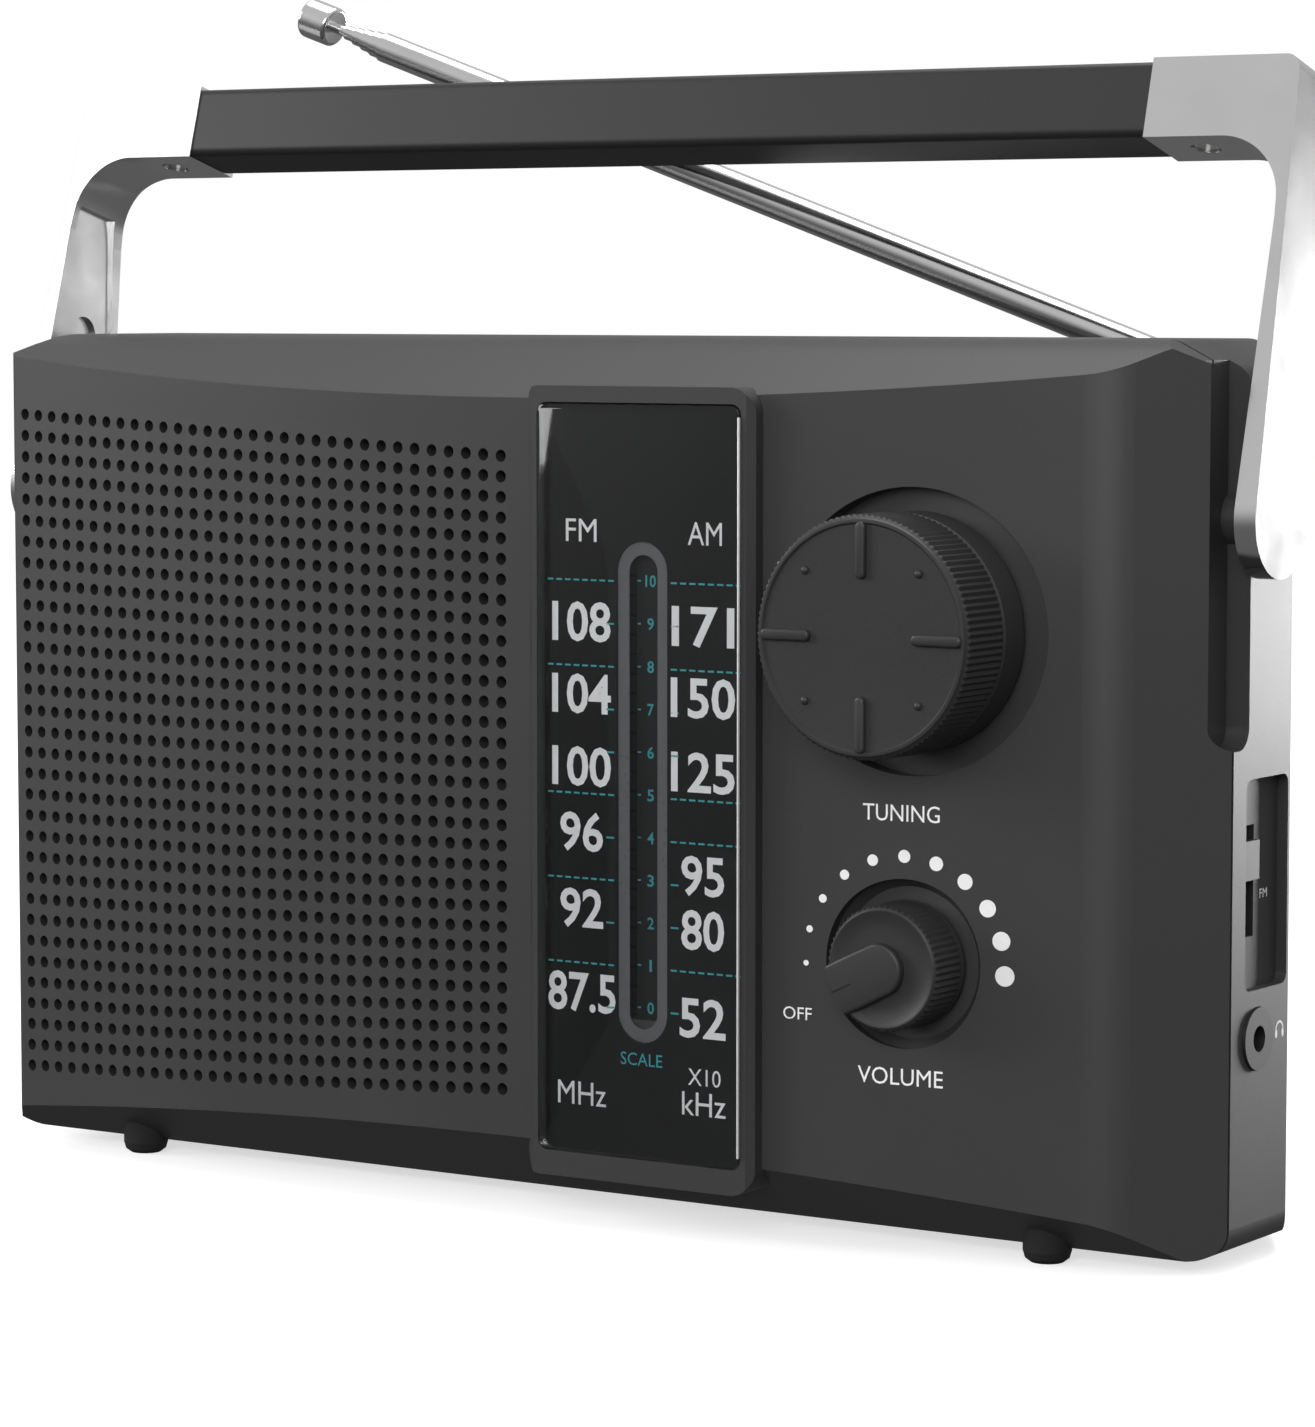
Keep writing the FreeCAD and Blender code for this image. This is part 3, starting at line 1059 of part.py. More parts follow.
def handle_end():
    """The right chromed arm with its corner, drawn upright with the pivot at the origin."""
    half = "(arm_deep / 2)"
    back = f"({half} - (arm_deep - corner_deep))"
    outline = [
        (ARM_INNER, f"-{half}"), (ARM_OUTER, f"-{half}"), (ARM_OUTER, "0"),
        (ARM_OUTER_TOP, "bar_high"), (GRIP_HALF, "bar_high"), (GRIP_HALF, "bar_low"),
        (ARM_INNER_TOP, "bar_low"), (ARM_INNER, "arm_bend"),
    ]
    blank = slab("arm_blank", "XZ", outline, f"-{half}", half)
    corner = soften("arm_corner", blank, "inner_fillet", lambda edge: along("Y")(edge)
                    and abs(edge.Vertexes[0].Z - value("bar_low")) < 0.1
                    and abs(edge.Vertexes[0].X - value(ARM_INNER_TOP)) < 0.1)
    outer = soften("arm_outer_corner", corner, "2.2", lambda edge: along("Y")(edge)
                   and edge.Vertexes[0].Z > value("bar_high - 0.1")
                   and edge.Vertexes[0].X > value(f"{GRIP_HALF} + 1"))
    profile = [(f"-{half}", "0"), (half, "0"), (half, "arm_flare"), (back, "bar_low - 2"), (back, "bar_high"),
               (f"-{half}", "bar_high")]
    side = fuse("arm_side", slab("arm_profile", "YZ", profile, "0", f"{ARM_OUTER} + 1"),
                rod("arm_round", "X", ("0", "0"), "0", f"{ARM_OUTER} + 1", "arm_deep"))
    solid = common("arm_solid", outer, side)
    track = "(shoe_wide + 2 * run_gap)"
    track_x = (f"{HALF} - 1", f"{ARM_INNER} + shoe_thick + 2 * fit_gap")
    shallow_x = (f"{HALF} - 2", f"{ARM_INNER} + shoe_thick / 2")
    deep_end = "handle_travel + 0.6"
    inner_half = f"({half} - arm_rim)"
    hollow = [(f"-{inner_half}", "-3"), (inner_half, "-3"), (inner_half, "arm_flare"),
              (f"{back} - arm_rim", "arm_bend + 4"), (f"-{inner_half}", "arm_bend + 4")]
    middle = "(bar_low + bar_high) / 2"
    screw_at = (f"{GRIP_HALF} + tongue_long / 2", "bar_shift")
    grooves = [
        block("track", track_x, (f"-{track} / 2", f"{track} / 2"), ("0", deep_end)),
        rod("track_low", "X", ("0", "0"), *track_x, track),
        rod("track_high", "X", ("0", deep_end), *track_x, track),
        slab("arm_hollow", "YZ", hollow, *shallow_x),
        block("tongue_socket", (GRIP_HALF, f"{GRIP_HALF} + tongue_long"),
              ("bar_shift - tongue_wide / 2", "bar_shift + tongue_wide / 2"),
              (f"{middle} - tongue_wide / 2", f"{middle} + tongue_wide / 2")),
        rod("end_screw_hole", "Z", screw_at, "bar_low - 1", middle, 2.4),
        rod("end_screw_seat", "Z", screw_at, "bar_low - 1", "bar_low + 1.2", 4.2),
    ]
    return cut("right_handle_end", solid, *grooves)


def handle():
    right = handle_end()
    node(tilt_back(right))
    node(mirrored("left_handle_end", right))
    middle = "(bar_low + bar_high) / 2"
    bar = block("grip_bar", (f"-{GRIP_HALF}", GRIP_HALF),
                ("bar_shift - grip_deep / 2", "bar_shift + grip_deep / 2"),
                (f"{middle} - grip_deep / 2", f"{middle} + grip_deep / 2"))
    bar = soften("grip_soft", bar, "1.2", along("X"))
    tongue = block("grip_tongue", (f"-{GRIP_HALF} - tongue_long", f"{GRIP_HALF} + tongue_long"),
                   ("bar_shift - tongue_wide / 2", "bar_shift + tongue_wide / 2"),
                   (f"{middle} - tongue_wide / 2", f"{middle} + tongue_wide / 2"))
    screw_x = f"{GRIP_HALF} + tongue_long / 2"
    holes = [rod(f"tongue_hole_{i}", "Z", (f"{sign}({screw_x})", "bar_shift"), "bar_low",
                 f"{middle} + 1.5", 2)
             for i, sign in enumerate(("", "-"))]
    node(tilt_back(cut("handle_grip", fuse("grip_solid", bar, tongue), *holes)))
    screws = []
    for i, sign in enumerate(("", "-")):
        points = [("0", "0"), ("2", "0"), ("2", "0.8"), ("1", "0.8"),
                  ("1", "bar_high / 2 - bar_low / 2 + 0.9"),
                  ("0", "bar_high / 2 - bar_low / 2 + 0.9")]
        screws.append(turned(f"end_screw_{i}", "+Z", (f"{sign}({screw_x})", "bar_shift", "bar_low + 0.4"),
                             points))
    node(tilt_back(fuse("handle_end_screws", *screws)))
    shoe_x = (f"{ARM_INNER} + fit_gap", f"{ARM_INNER} + fit_gap + shoe_thick")
    shoe = cut("right_handle_shoe", rod("shoe_round", "X", ("0", "0"), *shoe_x, "shoe_wide"),
               rod("shoe_bore", "X", ("0", "0"), HALF, ARM_OUTER, "pivot_pin + 2 * run_gap"))
    node(tilt_back(shoe))
    node(mirrored("left_handle_shoe", shoe))
    points = [("0", "0"), ("3.2", "0"), ("3.2", "1.6"), ("pivot_pin / 2", "1.6"),
              ("pivot_pin / 2", f"{ARM_INNER} + shoe_thick - {POCKET_FLOOR} + shell_wall + 1.6"),
              ("0", f"{ARM_INNER} + shoe_thick - {POCKET_FLOOR} + shell_wall + 1.6")]
    head = f"({POCKET_FLOOR} - shell_wall - 1.6)"
    pins = [turned("pin_right", "+X", (head, "pivot_y", "pivot_z"), points),
            turned("pin_left", "-X", (f"-{head}", "pivot_y", "pivot_z"), points)]
    node(fuse("handle_pins", *pins))


# ---- aerial ----

def lean(piece):
    """Turns a piece drawn along +X from the elbow into the resting aerial's line."""
    angle = 180 + value("aerial_rest")
    piece.Placement = FreeCAD.Placement(FreeCAD.Vector(), FreeCAD.Rotation(FreeCAD.Vector(0, 1, 0), angle))
    bind(piece, "Placement.Rotation.Angle", "180 + aerial_rest")
    place(piece, "aerial_x", "aerial_y", f"{SHELF} + aerial_lift")
    return piece


def aerial():
    at = ("aerial_x", "aerial_y")
    elbow = f"({SHELF} + aerial_lift)"
    flange = fuse("socket_body", rod("socket_flange", "Z", at, SHELF, f"{SHELF} + 1.4", 10.4),
                  rod("socket_stem", "Z", at, f"{SHELF} - shell_wall - 1.6", SHELF, 6))
    node(cut("aerial_socket", flange, rod("socket_bore", "Z", at, f"{SHELF} - 6", f"{SHELF} + 2",
                                          "3.6 + 2 * run_gap")))
    fork = fuse("fork_body", rod("fork_round", "Z", at, f"{SHELF} + 1.5", f"{elbow} + 3", 8.4),
                rod("fork_stem", "Z", at, f"{SHELF} - shell_wall - 1.4", f"{SHELF} + 2", 3.6))
    gap = block("fork_gap", ("aerial_x - 5", "aerial_x + 5"), ("aerial_y - 1.6", "aerial_y + 1.6"),
                (f"{elbow} - 2.4", f"{elbow} + 4"))
    hole = rod("fork_hole", "Y", ("aerial_x", elbow), "aerial_y - 5", "aerial_y + 5", 2)
    node(cut("aerial_swivel", fork, gap, hole))
    node(rod("elbow_pin", "Y", ("aerial_x", elbow), "aerial_y - 4", "aerial_y + 4", 2))
    wide = "aerial_wide"
    tongue = fuse("tongue_flat", block("tongue_bar", ("0", "aerial_start"), ("-1.4", "1.4"), ("-1.9", "1.9")),
                  rod("tongue_eye", "Y", ("0", "0"), "-1.4", "1.4", 3.8))
    tube = rod("tube_outside", "X", ("0", "0"), "aerial_start", "aerial_start + aerial_long", wide)
    bore = rod("tube_inside", "X", ("0", "0"), "aerial_start + 2", "aerial_start + aerial_long + 1",
               f"{wide} - 2 * aerial_wall")
    eye = rod("tongue_bore", "Y", ("0", "0"), "-2", "2", "2 + 2 * run_gap")
    node(lean(cut("aerial_tube", fuse("tube_solid", tongue, tube), bore, eye)))
    for number in range(1, 5):
        outside = f"(aerial_wide - {number} * aerial_step)"
        start = f"(aerial_start + 2 + {number})"
        end = f"(aerial_start + aerial_long + {number} * step_out)"
        section = rod(f"section_{number}_outside", "X", ("0", "0"), start, end, outside)
        inside = rod(f"section_{number}_inside", "X", ("0", "0"), f"{start} + 1", f"{end} + 1",
                     f"{outside} - 2 * aerial_wall")
        node(lean(cut(f"aerial_section_{number}", section, inside)))
    end = "(aerial_start + aerial_long + 4 * step_out)"
    tip = fuse("tip", rod("tip_rod", "X", ("0", "0"), "aerial_start + 8", f"{end} + 2.5",
                          "aerial_wide - 5 * aerial_step"),
               rod("tip_cap", "X", ("0", "0"), f"{end} + 2.5", f"{end} + 2.5 + cap_long", "cap_wide"))
    node(lean(soften("aerial_tip", tip, "0.6", lambda edge: edge.Length > 0.9 * math.pi * value("cap_wide"))))


def check_and_write():
    doc.recompute()
    for piece in doc.Objects:
        if "Invalid" in piece.State or "Error" in piece.State:
            raise RuntimeError(f"{piece.Label} failed: {piece.State}")
    for piece in nodes:
        if piece.Shape.isNull() or not piece.Shape.isValid():
            raise RuntimeError(f"{piece.Label} has no valid shape")
    os.makedirs("parts", exist_ok=True)
    for piece in nodes:
        piece.Shape.exportStep(f"parts/{piece.Label}.step")
        print(piece.Label, len(piece.Shape.Solids), "solids", round(piece.Shape.Volume, 1), "mm3")


front_shell()
speaker_grille()
dial()
tuning_drive()
volume_drive()
electronics()
loudspeaker()
batteries()
rear_shell()
battery_door()
case_fittings()
handle()
aerial()
check_and_write()
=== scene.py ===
import json
import math
import bpy
import bmesh
from mathutils import Matrix, Vector
from mathutils.bvhtree import BVHTree


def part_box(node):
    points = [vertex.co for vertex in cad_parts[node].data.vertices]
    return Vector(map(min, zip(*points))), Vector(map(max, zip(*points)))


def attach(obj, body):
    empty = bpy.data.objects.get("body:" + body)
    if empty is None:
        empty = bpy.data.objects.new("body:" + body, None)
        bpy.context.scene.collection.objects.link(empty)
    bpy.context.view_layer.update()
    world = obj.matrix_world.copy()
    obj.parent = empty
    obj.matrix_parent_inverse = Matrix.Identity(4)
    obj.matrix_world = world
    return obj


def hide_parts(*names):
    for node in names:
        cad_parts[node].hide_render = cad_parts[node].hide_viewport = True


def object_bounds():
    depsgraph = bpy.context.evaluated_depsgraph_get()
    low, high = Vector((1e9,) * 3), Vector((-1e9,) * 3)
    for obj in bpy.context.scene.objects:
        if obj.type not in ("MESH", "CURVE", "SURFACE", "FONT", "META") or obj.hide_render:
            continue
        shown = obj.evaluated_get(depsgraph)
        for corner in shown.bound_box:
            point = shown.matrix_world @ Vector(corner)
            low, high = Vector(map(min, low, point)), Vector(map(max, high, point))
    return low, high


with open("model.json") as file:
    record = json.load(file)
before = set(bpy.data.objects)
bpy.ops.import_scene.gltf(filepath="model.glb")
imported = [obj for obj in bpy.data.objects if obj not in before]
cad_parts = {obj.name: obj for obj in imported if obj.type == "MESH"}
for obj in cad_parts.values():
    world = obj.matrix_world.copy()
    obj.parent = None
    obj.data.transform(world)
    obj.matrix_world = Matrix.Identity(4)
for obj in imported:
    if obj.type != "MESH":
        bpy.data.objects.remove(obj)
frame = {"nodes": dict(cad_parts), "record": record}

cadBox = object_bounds()
nodes = frame["nodes"]
mm = 0.001
print("frame loaded:", len(nodes), "nodes")


# shader maths: one socket of a material, so that an expression adds its nodes
class Wire:
    def __init__(self, tree, socket=None):
        self.tree = tree
        self.socket = socket

    def node(self, kind, settings=None, sockets=None, out=0):
        made = self.tree.nodes.new("ShaderNode" + kind)
        for name, setting in (settings or {}).items():
            setattr(made, name, setting)
        for name, entry in (sockets or {}).items():
            if isinstance(entry, Wire):
                self.tree.links.new(entry.socket, made.inputs[name])
            else:
                made.inputs[name].default_value = entry
        return Wire(self.tree, made.outputs[out])

    def maths(self, operation, first, second):
        return self.node("Math", {"operation": operation}, {0: first, 1: second})

    def __add__(self, other):
        return self.maths("ADD", self, other)

    def __sub__(self, other):
        return self.maths("SUBTRACT", self, other)

    def __rsub__(self, other):
        return self.maths("SUBTRACT", other, self)

    def __mul__(self, other):
        return self.maths("MULTIPLY", self, other)

    __radd__ = __add__
    __rmul__ = __mul__


def noise(place, size, detail=3.0, stretch=(1, 1, 1)):   # size of a grain in metres
    aimed = place.node("Mapping", {}, {"Vector": place, "Scale": stretch})
    return place.node("TexNoise", {}, {"Vector": aimed, "Scale": 1 / size, "Detail": detail}, "Fac")


def between(mask, low, high):   # a colour from low to high as mask goes from 0 to 1
    return mask.node("Mix", {"data_type": "RGBA"}, {0: mask, 6: (*low, 1), 7: (*high, 1)}, 2)


def bumped(height, depth, strength=1.0):
    return height.node("Bump", {}, {"Height": height, "Distance": depth, "Strength": strength})


def makeMaterial(name, fixed, pattern):
    material = bpy.data.materials.new(name)
    material.use_nodes = True
    tree = material.node_tree
    shader = tree.nodes["Principled BSDF"]
    for socket, setting in fixed.items():
        shader.inputs[socket].default_value = setting
    place = Wire(tree).node("TexCoord", out="Object")
    for socket, wire in pattern(place).items():
        tree.links.new(wire.socket, shader.inputs[socket])
    return material


def grey(level, tint=(1, 1, 1)):
    return tuple(level * part for part in tint)


def mouldedPlastic(name, look):   # fine spark texture, slow drift of tone and gloss
    def pattern(place):
        grain = noise(place, look["grain"], 2.0)
        drift = noise(place, 0.035, 4.0)
        tone = between(grain * 0.55 + drift * 0.45, look["dark"], look["light"])
        gloss = look["rough"] + (drift - 0.5) * 0.12 + (grain - 0.5) * 0.10
        return {"Base Color": tone, "Roughness": gloss, "Normal": bumped(grain, look["lift"], 0.6)}
    return makeMaterial(name, {"Specular IOR Level": look.get("shine", 0.5)}, pattern)


def platedMetal(name, look):   # bright plating with faint smears and hair scratches
    def pattern(place):
        smear = noise(place, 0.012, 5.0)
        hair = noise(place, 0.0011, 2.0, (1, 1, 14))
        tone = between(smear, look["dark"], look["light"])
        gloss = look["rough"] + (smear - 0.5) * 0.10 + (hair - 0.5) * 0.05
        return {"Base Color": tone, "Roughness": gloss, "Normal": bumped(hair, look.get("lift", 2e-6), 0.5)}
    return makeMaterial(name, {"Metallic": 1.0}, pattern)


def clearPlastic(name, look):   # polished window: clear, with a film of haze and gloss at a slant
    material = bpy.data.materials.new(name)
    material.use_nodes = True
    tree = material.node_tree
    tree.nodes.remove(tree.nodes["Principled BSDF"])
    place = Wire(tree).node("TexCoord", out="Object")
    haze = noise(place, 0.02, 4.0)
    through = place.node("BsdfTransparent", {}, {"Color": look["tint"]})
    gloss = place.node("BsdfGlossy", {}, {"Roughness": look["rough"] + haze * 0.03})
    edge = place.node("Fresnel", {}, {"IOR": 1.45})
    mixed = place.node("MixShader", {}, {0: edge * look["gloss"] + haze * 0.01, 1: through, 2: gloss})
    tree.links.new(mixed.socket, tree.nodes["Material Output"].inputs["Surface"])
    return material


def circuitBoardFinish(name, look):   # lacquered board with lighter copper tracks under the mask
    def pattern(place):
        turned = place.node("Mapping", {}, {"Vector": place, "Rotation": (math.pi / 2, 0, 0)})
        tracks = place.node("TexBrick", {"offset": 0.37}, {
            "Vector": turned, "Scale": 140.0, "Mortar Size": 0.03, "Brick Width": 1.7, "Row Height": 0.4,
            "Color1": (1, 1, 1, 1), "Color2": (0.7, 0.7, 0.7, 1), "Mortar": (0, 0, 0, 1)}, "Color")
        cloth = noise(place, 0.0006)
        tone = place.node("Mix", {"data_type": "RGBA"}, {
            0: cloth * 0.3, 6: (*look["dark"], 1), 7: (*look["light"], 1)}, 2)
        printed = place.node("Mix", {"data_type": "RGBA", "blend_type": "MULTIPLY"}, {
            0: 0.6, 6: tone, 7: tracks}, 2)
        return {"Base Color": printed, "Roughness": cloth * 0.2 + 0.3, "Normal": bumped(cloth, 1e-5)}
    return makeMaterial(name, {}, pattern)


def woundWire(name, look):   # enamelled wire laid turn beside turn along X
    def pattern(place):
        turns = place.node("TexWave", {"bands_direction": "X"}, {
            "Vector": place, "Scale": look["turns"], "Distortion": 0.4}, "Fac")
        tone = between(turns, look["dark"], look["light"])
        return {"Base Color": tone, "Roughness": 0.5 - turns * 0.2, "Normal": bumped(turns, 1e-4)}
    return makeMaterial(name, {"Metallic": 0.7}, pattern)


def stackedSheets(name, look):   # lamination edges, bands along Y
    def pattern(place):
        sheets = place.node("TexWave", {"bands_direction": "Y"}, {
            "Vector": place, "Scale": look["sheets"], "Distortion": 0.2}, "Fac")
        tone = between(sheets, look["dark"], look["light"])
        return {"Base Color": tone, "Roughness": 0.55 - sheets * 0.15, "Normal": bumped(sheets, 5e-5)}
    return makeMaterial(name, {"Metallic": 0.9}, pattern)


def pressedPaper(name, look):   # fibres and rings of a loudspeaker cone
    def pattern(place):
        centred = place.node("Mapping", {}, {
            "Vector": place, "Location": look["centre"], "Rotation": (math.pi / 2, 0, 0)})
        rings = place.node("TexWave", {"wave_type": "RINGS", "rings_direction": "Z"}, {
            "Vector": centred, "Scale": 120.0, "Distortion": 0.3}, "Fac")
        fibres = noise(place, 0.0008, 5.0)
        tone = between(fibres * 0.7 + rings * 0.3, look["dark"], look["light"])
        return {"Base Color": tone, "Roughness": fibres * 0.2 + 0.75, "Normal": bumped(fibres + rings, 6e-5)}
    return makeMaterial(name, {}, pattern)


# every finish of the radio: the record's material slots, and then printing, strip and a painted highlight for
# the lens edge
looks = {
    "case_plastic": {"grain": 0.00022, "dark": grey(0.027), "light": grey(0.041),
                     "rough": 0.47, "lift": 2.2e-5, "shine": 0.5},
    "knob_plastic": {"grain": 0.00025, "dark": grey(0.021), "light": grey(0.033),
                     "rough": 0.46, "lift": 2e-5, "shine": 0.42},
    "grip_plastic": {"grain": 0.0002, "dark": grey(0.012), "light": grey(0.018),
                     "rough": 0.46, "lift": 1.6e-5, "shine": 0.4},
    "dial_black": {"grain": 0.0003, "dark": grey(0.013), "light": grey(0.019),
                   "rough": 0.36, "lift": 0.5e-5, "shine": 0.4},
    "pointer_grey": {"grain": 0.0004, "dark": grey(0.06), "light": grey(0.09), "rough": 0.4, "lift": 1e-5},
    "rubber_black": {"grain": 0.0004, "dark": grey(0.010), "light": grey(0.020),
                     "rough": 0.78, "lift": 4e-5, "shine": 0.3},
    "nylon_white": {"grain": 0.0006, "dark": grey(0.62), "light": grey(0.74, (1, 0.99, 0.95)),
                    "rough": 0.45, "lift": 1e-5},
    "sleeve_blue": {"grain": 0.0009, "dark": (0.01, 0.02, 0.09), "light": (0.02, 0.04, 0.16),
                    "rough": 0.35, "lift": 1e-5},
    "ferrite_grey": {"grain": 0.0005, "dark": grey(0.03), "light": grey(0.09), "rough": 0.7, "lift": 6e-5},
    "black_plastic": {"grain": 0.0004, "dark": grey(0.010), "light": grey(0.018),
                      "rough": 0.45, "lift": 2e-5},
    "cell_jacket": {"grain": 0.0012, "dark": (0.05, 0.06, 0.08), "light": (0.10, 0.12, 0.16),
                    "rough": 0.3, "lift": 1e-5},
}
platings = {
    "chrome_plate": {"dark": grey(0.74), "light": grey(0.84), "rough": 0.17},
    "zinc_steel": {"dark": grey(0.42), "light": grey(0.62, (1, 0.99, 0.94)), "rough": 0.36, "lift": 6e-6},
    "can_aluminium": {"dark": grey(0.55), "light": grey(0.72), "rough": 0.33, "lift": 5e-6},
    "contact_brass": {"dark": (0.50, 0.36, 0.14), "light": (0.70, 0.54, 0.26), "rough": 0.28, "lift": 3e-6},
}
finishes = {name: mouldedPlastic(name, look) for name, look in looks.items()}
finishes.update({name: platedMetal(name, look) for name, look in platings.items()})
finishes["clear_window"] = clearPlastic(
    "clear_window", {"tint": (0.93, 0.94, 0.95, 1), "rough": 0.03, "gloss": 0.9})
finishes["board_green"] = circuitBoardFinish(
    "board_green", {"dark": (0.01, 0.06, 0.02), "light": (0.05, 0.20, 0.07)})
finishes["copper_wire"] = woundWire(
    "copper_wire", {"turns": 900.0, "dark": (0.16, 0.05, 0.02), "light": (0.70, 0.30, 0.12)})
finishes["lamination_steel"] = stackedSheets(
    "lamination_steel", {"sheets": 500.0, "dark": grey(0.14), "light": grey(0.36)})
finishes["cone_paper"] = pressedPaper(
    "cone_paper", {"centre": (0.05, 0.064, 0), "dark": grey(0.018), "light": grey(0.05)})
finishes["print_white"] = mouldedPlastic(
    "print_white", {"grain": 0.0003, "dark": grey(0.90), "light": grey(0.98), "rough": 0.5, "lift": 0.4e-5})
finishes["print_teal"] = mouldedPlastic(
    "print_teal", {"grain": 0.0003, "dark": (0.05, 0.36, 0.37), "light": (0.08, 0.48, 0.50),
                   "rough": 0.5, "lift": 0.4e-5})
finishes["smoked_strip"] = mouldedPlastic(
    "smoked_strip", {"grain": 0.0005, "dark": grey(0.15), "light": grey(0.21), "rough": 0.3, "lift": 0.4e-5})
# painted highlight: a bright grey finish that stands in for light caught by the window's right edge
finishes["lens_painted_highlight"] = mouldedPlastic(
    "lens_painted_highlight", {"grain": 0.0004, "dark": grey(0.5), "light": grey(0.9), "rough": 0.15, "lift": 1e-5})

for entry in frame["record"]["subparts"]:
    mesh = nodes[entry["node"]].data
    mesh.materials.clear()
    mesh.materials.append(finishes[entry["material_slot"]])
print("finishes:", len(finishes))


def finishPiece(shape, name, body, slotName, finish=None, sharp=32):
    bmesh.ops.remove_doubles(shape, verts=shape.verts, dist=1e-7)
    bmesh.ops.recalc_face_normals(shape, faces=shape.faces)
    mesh = bpy.data.meshes.new(name)
    shape.to_mesh(mesh)
    shape.free()
    mesh.shade_smooth()
    mesh.set_sharp_from_angle(angle=math.radians(sharp))
    mesh.materials.append(finishes[finish or slotName])
    piece = bpy.data.objects.new(name, mesh)
    bpy.context.scene.collection.objects.link(piece)
    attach(piece, body)
    return piece


def facingFront(centre):   # local X across, Y up, Z out of the front
    return Matrix.Translation(centre) @ Matrix.Rotation(math.pi / 2, 4, "X")


def facingRight(centre):   # local X towards the back, Y up, Z out of the right side
    upright = Matrix.Rotation(math.pi / 2, 4, "X")
    return Matrix.Translation(centre) @ Matrix.Rotation(math.pi / 2, 4, "Z") @ upright


def merge(shape, part, matrix=Matrix.Identity(4)):   # adds a finished bmesh to another
    part.transform(matrix)
    mesh = bpy.data.meshes.new("part")
    part.to_mesh(mesh)
    part.free()
    shape.from_mesh(mesh)
    bpy.data.meshes.remove(mesh)


def toothedRings(teeth, rings):   # rings from back to face: (radius, tooth depth, height)
    shape = bmesh.new()
    step = math.pi / teeth
    loop = bmesh.ops.create_circle(shape, segments=teeth * 2, radius=1.0)["verts"]
    edges = shape.edges[:]
    for index, (radius, tooth, height) in enumerate(rings):
        if index:
            grown = bmesh.ops.extrude_edge_only(shape, edges=edges)["geom"]
            loop = [part for part in grown if isinstance(part, bmesh.types.BMVert)]
            fresh = set(loop)
            edges = [part for part in grown
                     if isinstance(part, bmesh.types.BMEdge) and fresh.issuperset(part.verts)]
        for vert in loop:
            bearing = math.atan2(vert.co.y, vert.co.x)
            reach = radius - tooth * (round(bearing / step) % 2)
            vert.co = Vector((reach * math.cos(bearing), reach * math.sin(bearing), height))
    bmesh.ops.contextual_create(shape, geom=edges)
    return shape


def raisedPill(long, wide, high, edge):   # a rounded rib lying along X on the plane Z = 0
    shape = bmesh.new()
    bmesh.ops.create_circle(shape, cap_ends=True, segments=28, radius=wide / 2)
    for vert in shape.verts:
        vert.co.x += math.copysign((long - wide) / 2, vert.co.x)
    grown = bmesh.ops.extrude_face_region(shape, geom=shape.faces[:])["geom"]
    top = [part for part in grown if isinstance(part, bmesh.types.BMVert)]
    bmesh.ops.translate(shape, verts=top, vec=(0, 0, high))
    fresh = set(top)
    rim = [line for line in shape.edges if fresh.issuperset(line.verts)]
    bmesh.ops.bevel(shape, geom=rim, offset=edge, segments=3, affect="EDGES", profile=0.5, material=-1)
    return shape


def smallDome(wide, high):
    shape = bmesh.new()
    bmesh.ops.create_uvsphere(shape, u_segments=20, v_segments=10, radius=wide / 2)
    bmesh.ops.scale(shape, vec=(1, 1, 2 * high / wide), verts=shape.verts)
    bmesh.ops.bisect_plane(shape, geom=shape.verts[:] + shape.edges[:] + shape.faces[:],
                           plane_co=(0, 0, 0), plane_no=(0, 0, 1), clear_inner=True)
    return shape


tuningKnob = {"teeth": 110, "toothDeep": 0.28 * mm, "knurlShare": 0.62,
              "ribLong": 7.7 * mm, "ribWide": 1.6 * mm,
              "ribFromCentre": 11.7 * mm, "dotFromCentre": 12.4 * mm, "dotWide": 1.25 * mm}
volumeKnob = {"teeth": 58, "toothDeep": 0.32 * mm, "fingerWide": 7.4 * mm, "fingerHigh": 0.9 * mm,
              "fingerBack": 3.4 * mm, "fingerTurn": 206, "lineLong": 3.4 * mm, "lineWide": 0.45 * mm}


def knobSpot(name):   # axis at the back of the knob, radius and depth
    low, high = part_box(name)
    return Vector(((low.x + high.x) / 2, high.y, (low.z + high.z) / 2)), (high.x - low.x) / 2, high.y - low.y


def makeTuningKnob(look):
    spot, radius, deep = knobSpot("tuning_knob")
    start = deep * (1 - look["knurlShare"])
    tooth = look["toothDeep"]
    shape = toothedRings(look["teeth"], [
        (radius * 0.3, 0, 0.3 * mm), (radius - 0.4 * mm, 0, 0.3 * mm), (radius - 0.1 * mm, 0, 0.7 * mm),
        (radius - 0.15 * mm, 0, start - 0.5 * mm), (radius - 0.45 * mm, 0, start - 0.2 * mm),
        (radius - 0.35 * mm, tooth * 0.5, start), (radius, tooth, start + 0.35 * mm),
        (radius, tooth, deep - 0.75 * mm), (radius - 0.3 * mm, tooth * 0.6, deep - 0.45 * mm),
        (radius - 0.5 * mm, 0, deep - 0.35 * mm), (radius - 0.62 * mm, 0, deep - 0.05 * mm),
        (radius - 0.85 * mm, 0, deep), (radius - 1.1 * mm, 0, deep - 0.02 * mm),
        (radius - 1.35 * mm, 0, deep - 0.3 * mm), (radius * 0.8, 0, deep - 0.36 * mm)])
    face = deep - 0.4 * mm
    for quarter in range(4):
        turn = Matrix.Rotation(quarter * math.pi / 2, 4, "Z")
        rib = turn @ Matrix.Translation((look["ribFromCentre"], 0, face))
        merge(shape, raisedPill(look["ribLong"], look["ribWide"], 0.75 * mm, 0.4 * mm), rib)
        across = look["dotFromCentre"] / math.sqrt(2)
        dot = turn @ Matrix.Translation((across, across, face))
        merge(shape, smallDome(look["dotWide"], 0.5 * mm), dot)
    shape.transform(facingFront(spot))
    piece = finishPiece(shape, "tuningKnob", "tuning", "knob_plastic")
    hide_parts("tuning_knob")


